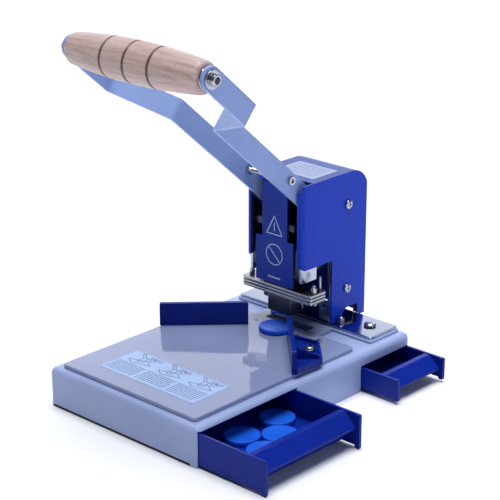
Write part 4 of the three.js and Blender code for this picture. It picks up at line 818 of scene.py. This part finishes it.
# ------ ram and its cover
# The ram is a blackened steel bar. A T-shaped plate in navy powder coat covers its face; it carries two
# plain printed symbols and a row of dots in white ink, which stand proud by the ink's thickness.
RAM_COVER_CORNER = 1
RAM_STEP_CORNER = 0.8
RAM_COVER_WIDE = 21
RAM_COVER_NARROW = 14
RAM_COVER_STEP = 118
INK = 0.08
MARK_LINE = 0.9
TRIANGLE = ((-8.5, 122), (8.5, 122), (0, 138))
TRIANGLE_BAR = ((0, 125.5), (0, 131.5))
CIRCLE_MIDDLE = 104
CIRCLE_RADIUS = 9
DOTS = (-5.4, -1.8, 1.8, 5.4)
DOTS_HEIGHT = 83.5
NAVY_COAT = powder_coat("satin_navy_powder_coat", "#1237a6", "#10329a", 0.28, 0.12, 0.8, 0.012, 0.04)
restyled("ram", "milled_ram", DARK_STEEL)
plate_low, plate_high = in_mm("ram_cover")
right_half = [
    (RAM_COVER_WIDE, plate_low.z, RAM_COVER_CORNER),
    (RAM_COVER_WIDE, RAM_COVER_STEP, RAM_STEP_CORNER),
    (RAM_COVER_NARROW, RAM_COVER_STEP, RAM_STEP_CORNER),
    (RAM_COVER_NARROW, plate_high.z, RAM_COVER_CORNER),
]
left_half = [(-x, z, radius) for x, z, radius in reversed(right_half)]
plate_y = (plate_low.y, plate_high.y)
ram_cover = prism("coated_ram_cover", outline(right_half + left_half), "y", plate_y)
finish_as(soften(ram_cover, 0.3, 3, 30), "ram_cover", NAVY_COAT)


def ink(name, main, tone):
    """Screen-printed ink: matt and opaque, a little uneven where the mesh of the screen laid it down."""
    material, tree, shader, place = new_material(name)
    mesh = node(tree, "TexNoise", {"Vector": place, "Scale": 1 / (0.5 * MM), "Detail": 2.0}).outputs["Fac"]
    lay_on(tree, shader, (mesh, main, tone))
    shader.inputs["Roughness"].default_value = 0.6
    return material


def line(a, b, width, axis, between):
    """A straight printed line between two points of a plane."""
    start, end = Vector(a), Vector(b)
    along = (end - start).normalized() * width / 2
    aside = Vector((-along.y, along.x))
    shape = [start - along - aside, end + along - aside, end + along + aside, start - along + aside]
    return prism("line", shape, axis, between)


def path(points, width, axis, between):
    """Printed lines from point to point."""
    return [line(a, b, width, axis, between) for a, b in zip(points, points[1:])]


def ring(centre, radius, width, axis, between, sides=48):
    """A printed ring in a plane."""
    spokes = [Vector((math.cos(t), math.sin(t))) for t in (2 * math.pi * i / sides for i in range(sides + 1))]
    steps = []
    for a, b in zip(spokes, spokes[1:]):
        rims = ((a, -width / 2), (a, width / 2), (b, width / 2), (b, -width / 2))
        corners = [Vector(centre) + (radius + offset) * spoke for spoke, offset in rims]
        steps.append(prism("ring", corners, axis, between))
    return steps


def printed(name, marks, body, material):
    """Several marks as one printed piece that rides on a body."""
    work = bmesh.new()
    for mark in marks:
        work.from_mesh(mark.data)
        bpy.data.objects.remove(mark)
    piece = piece_from(name, work)
    piece.data.materials.append(material)
    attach(piece, body)


print_y = (plate_low.y - INK, plate_low.y + 0.02)
slash = CIRCLE_RADIUS / math.sqrt(2)
slash_ends = ((-slash, CIRCLE_MIDDLE + slash), (slash, CIRCLE_MIDDLE - slash))
marks = path((TRIANGLE[-1], *TRIANGLE), MARK_LINE, "y", print_y)
marks += path(TRIANGLE_BAR, MARK_LINE, "y", print_y)
marks += ring((0, CIRCLE_MIDDLE), CIRCLE_RADIUS, MARK_LINE, "y", print_y)
marks += path(slash_ends, MARK_LINE, "y", print_y)
for x in DOTS:
    marks.append(line((x - 0.7, DOTS_HEIGHT), (x + 0.7, DOTS_HEIGHT), 1.5, "y", print_y))
printed("printed_ram_marks", marks, "ram", ink("white_screen_ink", "#c9d2f2", "#b4bfe8"))

# ------ punch head and blade
# Three nickel-plated plates are clamped by nutted bolts and dowelled together; under them a
# burnished holder grips the curved blade that rounds the paper's corner.
BOLT_SHANK = 1.6
BOLT_CAP = 3.2
HEAD_NUT = 2.6
HEAD_NUT_HEIGHT = 4.2
FINE_THREAD = 0.18
FINE_STEP = 0.25
HEAD_PIN = 0.9
HEAD_STEEL = steel("nickel_plated_head_plate", "#b3b4bc", "#8f909a", 0.22, 0.5, 0.03)
for part in ("punch_plate", "spacer_plate", "head_plate"):
    restyled(part, "plated_" + part, HEAD_STEEL, 0.35, 3)
restyled("blade_holder", "burnished_blade_holder", DARK_STEEL, 0.4)
restyled("corner_blade", "ground_corner_blade", POLISHED_STEEL, 0.1)
plates_top = in_mm("head_plate")[1].z + GAP
plates_bottom = in_mm("punch_plate")[0].z - GAP
nut_top = plates_top + HEAD_NUT_HEIGHT
for side in ("left", "right"):
    part = "head_bolt_" + side
    x, y, bottom, top = upright_middle(part)
    profile = [(0, bottom), (BOLT_CAP - 0.3, bottom), (BOLT_CAP, bottom + 0.4)]
    profile += [(BOLT_CAP, plates_bottom), (BOLT_SHANK, plates_bottom), (BOLT_SHANK, nut_top)]
    for i in range(1, 9):
        profile.append((BOLT_SHANK - FINE_THREAD * (i % 2), nut_top + i * FINE_STEP))
    bolt = turned("threaded_bolt_" + side, [*profile, (BOLT_SHANK - 0.4, top), (0, top)], 32)
    bolt.data.transform(Matrix.Translation(Vector((x, y, 0)) * MM))
    nut = prism("nut", hexagon(HEAD_NUT, x, y), "z", (plates_top, nut_top))
    soften(combine(bolt, "UNION", [nut]), 0.15, 2, 40)
    finish_as(bolt, part, NICKEL)
    part = "head_pin_" + side
    x, y, bottom, top = upright_middle(part)
    tip = HEAD_PIN - 0.2
    profile = [(0, 0), (tip, 0), (HEAD_PIN, 0.3), (HEAD_PIN, top - bottom - 0.3), (tip, top - bottom)]
    pin = turned("ground_dowel_" + side, [*profile, (0, top - bottom)], 24)
    finish_as(soften(aim(pin, (0, 0, 1), (x, y, bottom)), 0.05, 2, 40), part, NICKEL)

# ------ lever arms and cam
# The lever is two flat steel strips, folded outwards to the width of the grip and coated like the base.
# They turn with a cam on the pivot shaft, and a bolt ties them together in front of the column.
ARM = 3
ARM_ABOVE = 9.8
ARM_BELOW = 8.6
ARM_INNER_FOLD = 149
ARM_OUTER_FOLD = 176
SHARP_BEND = 2
WIDE_BEND = 5
ARM_INNER_HALF = 24.7
CROSS_BOLT = (-45, 3)
ARM_HOLES = ((6.3, 0, 0), (2.8, *CROSS_BOLT))  # radius, and place along and across the arm
ROD_HOLE = 4.3

hinges = {j["name"]: Vector(j["pos_m"]) / MM for j in frame["joints"] if j["type"] == "hinge"}
pivot, grip_axis = hinges["lever_swing"], hinges["grip_spin"]
lever_length = (grip_axis - pivot).length
lever_angle = math.asin((grip_axis.z - pivot.z) / lever_length)
lever_place = Matrix.Translation(pivot * MM) @ Matrix.Rotation(-lever_angle, 4, "X")
arm_outer_half = in_mm("lever_arm_right")[1].x
end = (ARM_ABOVE + ARM_BELOW) / 2
mitre = ARM * math.tan(math.atan2(arm_outer_half - ARM_INNER_HALF, ARM_OUTER_FOLD - ARM_INNER_FOLD) / 2)
ARM_COAT = powder_coat("pale_blue_lever_powder_coat", "#93aade", "#8ba2d8", 0.28, 0.25, 0.9, 0.01)
for side, word in SIDES:
    strip = outline([
        (side * ARM_INNER_HALF, end + 1),
        (side * ARM_INNER_HALF, -ARM_INNER_FOLD, SHARP_BEND),
        (side * arm_outer_half, -ARM_OUTER_FOLD, WIDE_BEND),
        (side * arm_outer_half, -lever_length - end - 1),
        (side * (arm_outer_half - ARM), -lever_length - end - 1),
        (side * (arm_outer_half - ARM), -ARM_OUTER_FOLD - mitre, SHARP_BEND),
        (side * (ARM_INNER_HALF - ARM), -ARM_INNER_FOLD - mitre, WIDE_BEND),
        (side * (ARM_INNER_HALF - ARM), end + 1),
    ], 10)
    arm = prism("coated_lever_arm_" + word, strip, "z", (-ARM_BELOW - 1, ARM_ABOVE + 1))
    edges = rectangle((-lever_length - end, end), (-ARM_BELOW, ARM_ABOVE), end - 0.01, 24)
    combine(arm, "INTERSECT", [prism("edges", edges, "x", (-FAR, FAR))])
    holes = (*ARM_HOLES, (ROD_HOLE, -lever_length, 0))
    drilled = [rod(radius, (1, 0, 0), (-FAR, *place), 2 * FAR) for radius, *place in holes]
    soften(combine(arm, "DIFFERENCE", drilled), 0.45, 3, 40)
    arm.data.transform(lever_place)
    finish_as(arm, "lever_arm_" + word, ARM_COAT)
restyled("press_cam", "ground_press_cam", DARK_STEEL)

# ------ lever bolts and grip rod
# A socket bolt with two nuts ties the arms together, and a plated rod carries the grip between thin
# washers. A socket screw on a broad washer closes each end of the rod.
BOLT_RADIUS = 2.5
BOLT_HEAD = 3.5
BOLT_HEAD_HEIGHT = 2.2
BOLT_SOCKET = 2.2
NUT_RADIUS = 4.4
NUT_HEIGHT = 3
THREAD_PITCH = 1.6  # drawn at twice the real pitch so that it shows
THREAD_DEPTH = 0.4
GRIP_BOLT_WASHER = (7.5, 1.4)  # radius and height
GRIP_BOLT_HEAD = (4.6, 4.2)
GRIP_BOLT_SHANK = (2.2, 8)
GRIP_BOLT_SOCKET = 3

bolt_end = ARM_INNER_HALF + GAP
inner_face = ARM_INNER_HALF - ARM
bolt_start = -bolt_end - NUT_HEIGHT
threads = int((bolt_end - 6 - bolt_start) / THREAD_PITCH)
profile = [(0, bolt_start), (BOLT_RADIUS - THREAD_DEPTH, bolt_start)]
for i in range(1, 2 * threads):
    profile.append((BOLT_RADIUS - THREAD_DEPTH * (i % 2), bolt_start + i * THREAD_PITCH / 2))
profile += [(BOLT_RADIUS, bolt_end), (0, bolt_end)]
bolt = aim(turned("plated_cross_bolt", profile, 32), (1, 0, 0), (0, *CROSS_BOLT))
nut = hexagon(NUT_RADIUS, *CROSS_BOLT)
combine(bolt, "UNION", [
    prism("nut", nut, "x", (bolt_start, -bolt_end)),
    prism("nut", nut, "x", (GAP - inner_face, GAP - inner_face + NUT_HEIGHT)),
    rod(BOLT_HEAD, (1, 0, 0), (bolt_end, *CROSS_BOLT), BOLT_HEAD_HEIGHT),
])
socket_x = (bolt_end + 0.8, bolt_end + BOLT_HEAD_HEIGHT + PAST)
socket = prism("socket", hexagon(BOLT_SOCKET, *CROSS_BOLT), "x", socket_x)
soften(combine(bolt, "DIFFERENCE", [socket]), 0.25, 3, 40)
bolt.data.transform(lever_place)
finish_as(bolt, "cross_bolt", NICKEL)

restyled("grip_rod", "plated_grip_rod", NICKEL)
for side, word in SIDES:
    restyled("grip_washer_" + word, "plated_grip_washer_" + word, NICKEL)
    part = "grip_bolt_" + word
    low, high = in_mm(part)
    tip = max(abs(low.x), abs(high.x))
    head, head_height = GRIP_BOLT_HEAD
    washer, washer_height = GRIP_BOLT_WASHER
    shank, shank_length = GRIP_BOLT_SHANK
    seat = tip - head_height
    face = seat - washer_height
    screw = turned("socket_" + part, [
        (0, face - shank_length), (shank, face - shank_length), (shank, face),
        (washer - 0.3, face), (washer, face + 0.3), (washer, seat - 0.3), (washer - 0.3, seat),
        (head, seat), (head, tip - 0.6), (head - 0.6, tip), (0, tip),
    ], 48)
    combine(screw, "DIFFERENCE", [prism("socket", hexagon(GRIP_BOLT_SOCKET), "z", (seat + 0.6, tip + PAST))])
    soften(aim(screw, (side, 0, 0), (0, grip_axis.y, grip_axis.z)), 0.15, 2, 40)
    finish_as(screw, part, NICKEL)

# ------ wooden grip
# The grip is a barrel turned from beech, sanded, with three grooves burnt in by a wire while it spun,
# and one coat of clear lacquer. Its grain runs from end to end, with short dark flecks.
GRIP_END_RADIUS = 12.5
GRIP_MIDDLE_RADIUS = 16.7
GRIP_END_ROUND = 4
GRIP_STEP = 0.6
GROOVES = (-25.5, 0, 25.5)
GROOVE_HALF = 0.9
GROOVE_DEPTH = 0.6


def beech(name):
    """Lacquered beech: pinkish tan with growth lines about 1.5 mm apart stretched along X, short flecks
    of ray a few millimetres long, and a scorched brown that fades out within 2 mm of each groove."""
    material, tree, shader, place = new_material(name)
    mix = {"data_type": "RGBA"}
    stretch = node(tree, "Mapping", {"Vector": place, "Scale": (0.06, 1, 1)})
    rings = {"Vector": stretch.outputs[0], "Scale": 1 / (3.5 * MM), "Detail": 5.0, "Distortion": 0.6}
    grain = node(tree, "TexNoise", rings).outputs["Fac"]
    late = node(tree, "MapRange", {0: grain, 1: 0.35, 2: 0.68, 3: 0.0, 4: 1.0}).outputs[0]
    wood = node(tree, "Mix", {0: late, 6: colour("#d3bcb8"), 7: colour("#b89b96")}, **mix).outputs[2]
    stretch = node(tree, "Mapping", {"Vector": place, "Scale": (0.12, 1, 1)})
    rays = {"Vector": stretch.outputs[0], "Scale": 1 / (0.6 * MM), "Detail": 2.0}
    flecks = node(tree, "TexNoise", rays).outputs["Fac"]
    dark = node(tree, "MapRange", {0: flecks, 1: 0.58, 2: 0.72, 3: 0.0, 4: 0.55}).outputs[0]
    wood = node(tree, "Mix", {0: dark, 6: wood, 7: colour("#8c6a62")}, **mix).outputs[2]
    along = node(tree, "SeparateXYZ", {0: place}).outputs[0]
    nearest = 1.0
    for groove in GROOVES:
        offset = node(tree, "Math", {0: along, 1: groove * MM}, operation="SUBTRACT")
        away = node(tree, "Math", {0: offset.outputs[0]}, operation="ABSOLUTE")
        inputs = {0: nearest, 1: away.outputs[0]}
        nearest = node(tree, "Math", inputs, operation="MINIMUM").outputs[0]
    burn = node(tree, "MapRange", {0: nearest, 1: 0.6 * MM, 2: 1.9 * MM, 3: 0.92, 4: 0.0}).outputs[0]
    wood = node(tree, "Mix", {0: burn, 6: wood, 7: colour("#4d3028")}, **mix).outputs[2]
    tree.links.new(wood, shader.inputs["Base Color"])
    lay_on(tree, shader, None, (flecks, 0.3, 0.7, 0.38, 0.55), (flecks, 0.03, 0.6))
    return material


half = in_mm("grip")[1].x


def barrel(x):
    """The grip's radius at a distance from its middle, with its grooves."""
    plain = GRIP_END_RADIUS + (GRIP_MIDDLE_RADIUS - GRIP_END_RADIUS) * (1 - (x / half) ** 2)
    nearest = min(abs(x - groove) for groove in GROOVES)
    return plain - GROOVE_DEPTH * max(0, 1 - nearest / GROOVE_HALF)


straight = half - GRIP_END_ROUND
profile = [(ROD_HOLE, -half)]
for i in range(1, 9):
    turn = i / 8 * math.pi / 2
    radius = barrel(straight) - GRIP_END_ROUND * (1 - math.sin(turn))
    profile.append((radius, -straight - GRIP_END_ROUND * math.cos(turn)))
steps = int(straight / GRIP_STEP)
profile += [(barrel(x), x) for x in (straight * i / steps for i in range(-steps + 1, steps))]
profile += [(radius, -x) for radius, x in reversed(profile[:9])]
grip = turned("turned_beech_grip", profile, 96)
grip.data.shade_smooth()
grip.data.set_sharp_from_angle(angle=math.radians(50))
aim(grip, (1, 0, 0), (0, grip_axis.y, grip_axis.z))
finish_as(grip, "grip", beech("lacquered_beech"))

# ------ labels
# A pale guide label lies on the table in front and a small plate label on the cover's top. Both are
# matt film with plain line work and rows of dashes that stand for print, with no words.
LABEL_THICKNESS = 0.15
TABLE_LABEL = ((-52, 56), (-105, -61))
TABLE_LABEL_BORDER = 1.2
TOP_LABEL = ((-19.5, 23), (71, 103))
COLUMN_PITCH = 34.5
COLUMN_WIDTH = 31
SHEET_SKETCH = ((0, 0), (17, 5), (24, 0), (7, -4.5), (0, 0))
PRESS_SKETCH = ((9, 0), (9, 8), (3, 14), (5, 15), (11, 9), (14, 9), (14, 1), (9, 0))


def film(name, main, tone):
    """Matt label film: even and slightly cloudy, with the fine tooth of a laminated sheet."""
    material, tree, shader, place = new_material(name)
    cloud = node(tree, "TexNoise", {"Vector": place, "Scale": 1 / (18 * MM), "Detail": 4.0}).outputs["Fac"]
    tooth = node(tree, "TexNoise", {"Vector": place, "Scale": 1 / (0.6 * MM), "Detail": 2.0}).outputs["Fac"]
    lay_on(tree, shader, (cloud, main, tone), None, (tooth, 0.01, 1.0))
    shader.inputs["Roughness"].default_value = 0.35
    return material


def dashes(x, y, rows, pitch, seed, z):
    """Rows of short dashes of uneven length that stand for lines of small print."""
    made = []
    step = seed
    for row in range(rows):
        at = x[0]
        level = y - row * pitch
        while at < x[1] - 1:
            step = (step * 7 + 3) % 11
            length = min(1.2 + 0.35 * step, x[1] - at)
            made.append(line((at, level), (at + length, level), 0.7, "z", z))
            at += length + 1.1
    return made


def label(name, place, corner, z, material):
    """A sheet of film stuck to the base or its cover."""
    piece = prism(name, rectangle(*place, corner), "z", z)
    piece.data.materials.append(material)
    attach(piece, "base")


GREY_INK = ink("grey_blue_label_ink", "#3f5480", "#4c6190")
film_bottom = in_mm("work_table")[1].z + 0.02
film_top = film_bottom + LABEL_THICKNESS
film_blue = film("pale_label_film", "#a6c3ee", "#9bb9e8")
label("table_label", TABLE_LABEL, 3, (film_bottom, film_top), film_blue)
ink_z = (film_top - 0.01, film_top + 0.05)
(left, right), (front, rear) = TABLE_LABEL
border_x = (left + TABLE_LABEL_BORDER, right - TABLE_LABEL_BORDER)
border = rectangle(border_x, (front + TABLE_LABEL_BORDER, rear - TABLE_LABEL_BORDER), 2)
drawing = path([*border, border[0]], 0.35, "z", ink_z)
for column in range(3):
    start = left + 4 + column * COLUMN_PITCH
    end = start + COLUMN_WIDTH
    sketch = Vector((start + 4, rear - 17))
    drawing += dashes((start, end), front + 20, 7, 2.5, 2 + column, ink_z)
    for shape in (SHEET_SKETCH, PRESS_SKETCH):
        drawing += path([sketch + Vector(point) for point in shape], 0.6, "z", ink_z)
    drawing += ring(sketch + Vector((19, 9)), 2.6, 0.6, "z", ink_z, 20)
    drawing += dashes((start + 17, end), rear - 4, 2, 2.4, 5 + column, ink_z)
printed("table_label_print", drawing, "base", GREY_INK)

film_silver = film("silver_label_film", "#97a6cc", "#8998c2")
label("cover_label", TOP_LABEL, 1.5, (cover_high.z - 0.3, cover_high.z + 0.12), film_silver)
(left, right), (front, rear) = TOP_LABEL
ink_z = (cover_high.z + 0.11, cover_high.z + 0.16)
printed("cover_label_print", dashes((left + 4, right - 4), rear - 5, 6, 4.2, 3, ink_z), "base", GREY_INK)

# ------ studio
# A plain pale floor under broad soft light from above and from the drawer side, seen a little from
# above past the front right corner.
FLOOR_HALF = 6000


def floor_paint(name):
    """Matt white studio paint with a barely visible mottle."""
    material, tree, shader, place = new_material(name)
    mottle = node(tree, "TexNoise", {"Vector": place, "Scale": 8.0, "Detail": 3.0}).outputs["Fac"]
    lay_on(tree, shader, (mottle, "#f4f5f7", "#f1f2f5"))
    shader.inputs["Roughness"].default_value = 0.8
    return material


floor_plan = rectangle((-FLOOR_HALF, FLOOR_HALF), (-FLOOR_HALF, FLOOR_HALF))
floor = prism("studio_floor", floor_plan, "z", (-20, -0.05))
floor.data.materials.append(floor_paint("matt_white_floor"))


def hang(lamp, place):
    """Hang a lamp at a place, in metres, aimed at the middle of the press."""
    holder = bpy.data.objects.new(lamp.name, lamp)
    holder.location = place
    aim_at = Vector((0, 0, 0.1))
    holder.rotation_euler = (aim_at - Vector(place)).to_track_quat("-Z", "Y").to_euler()
    bpy.context.scene.collection.objects.link(holder)


def softbox(name, place, size, power, tint):
    """A square area light aimed at the middle of the press."""
    lamp = bpy.data.lights.new(name, "AREA")
    lamp.size = size
    lamp.energy = power
    lamp.color = colour(tint)[:3]
    hang(lamp, place)


sky_light = bpy.data.lights.new("overhead_light", "SUN")
sky_light.energy = 3.2
sky_light.angle = math.radians(38)
hang(sky_light, (0, 0, 3.2))
softbox("back_softbox", (-1.7, 1.8, 1.4), 3.0, 40, "#f8f9ff")
softbox("side_softbox", (2.5, 0.5, 0.9), 1.6, 12, "#cfdcff")

# The surroundings light the press only dimly and bluish, and look as pale as the floor.
world = bpy.data.worlds.new("pale_surroundings")
world.use_nodes = True
surroundings = world.node_tree
glow = surroundings.nodes["Background"]
glow.inputs[0].default_value = colour("#e4eaff")
glow.inputs[1].default_value = 0.08
pale = node(surroundings, "Background", {"Color": colour("#fdfdfe"), "Strength": 1.0})
ray = node(surroundings, "LightPath", {})
seen = {0: ray.outputs["Is Camera Ray"], 1: glow.outputs[0], 2: pale.outputs[0]}
both = node(surroundings, "MixShader", seen)
surroundings.links.new(both.outputs[0], surroundings.nodes["World Output"].inputs[0])
bpy.context.scene.world = world
bpy.context.scene.view_settings.view_transform = "Standard"

azimuth, elevation = math.radians(43.03), math.radians(19.91)
right = Vector((math.cos(azimuth), math.sin(azimuth), 0))
back = Vector((
    math.sin(azimuth) * math.cos(elevation),
    -math.cos(azimuth) * math.cos(elevation),
    math.sin(elevation),
))
up = back.cross(right)
camera = bpy.data.objects.new("camera", bpy.data.cameras.new("camera"))
camera.data.sensor_width = 36
camera.data.lens = 121.2
camera.data.clip_end = 50
camera.location = (13.28 * right + 113.86 * up + 1410.7 * back) * MM
camera.rotation_euler = back.to_track_quat("Z", "Y").to_euler()
bpy.context.scene.collection.objects.link(camera)
bpy.context.scene.camera = camera
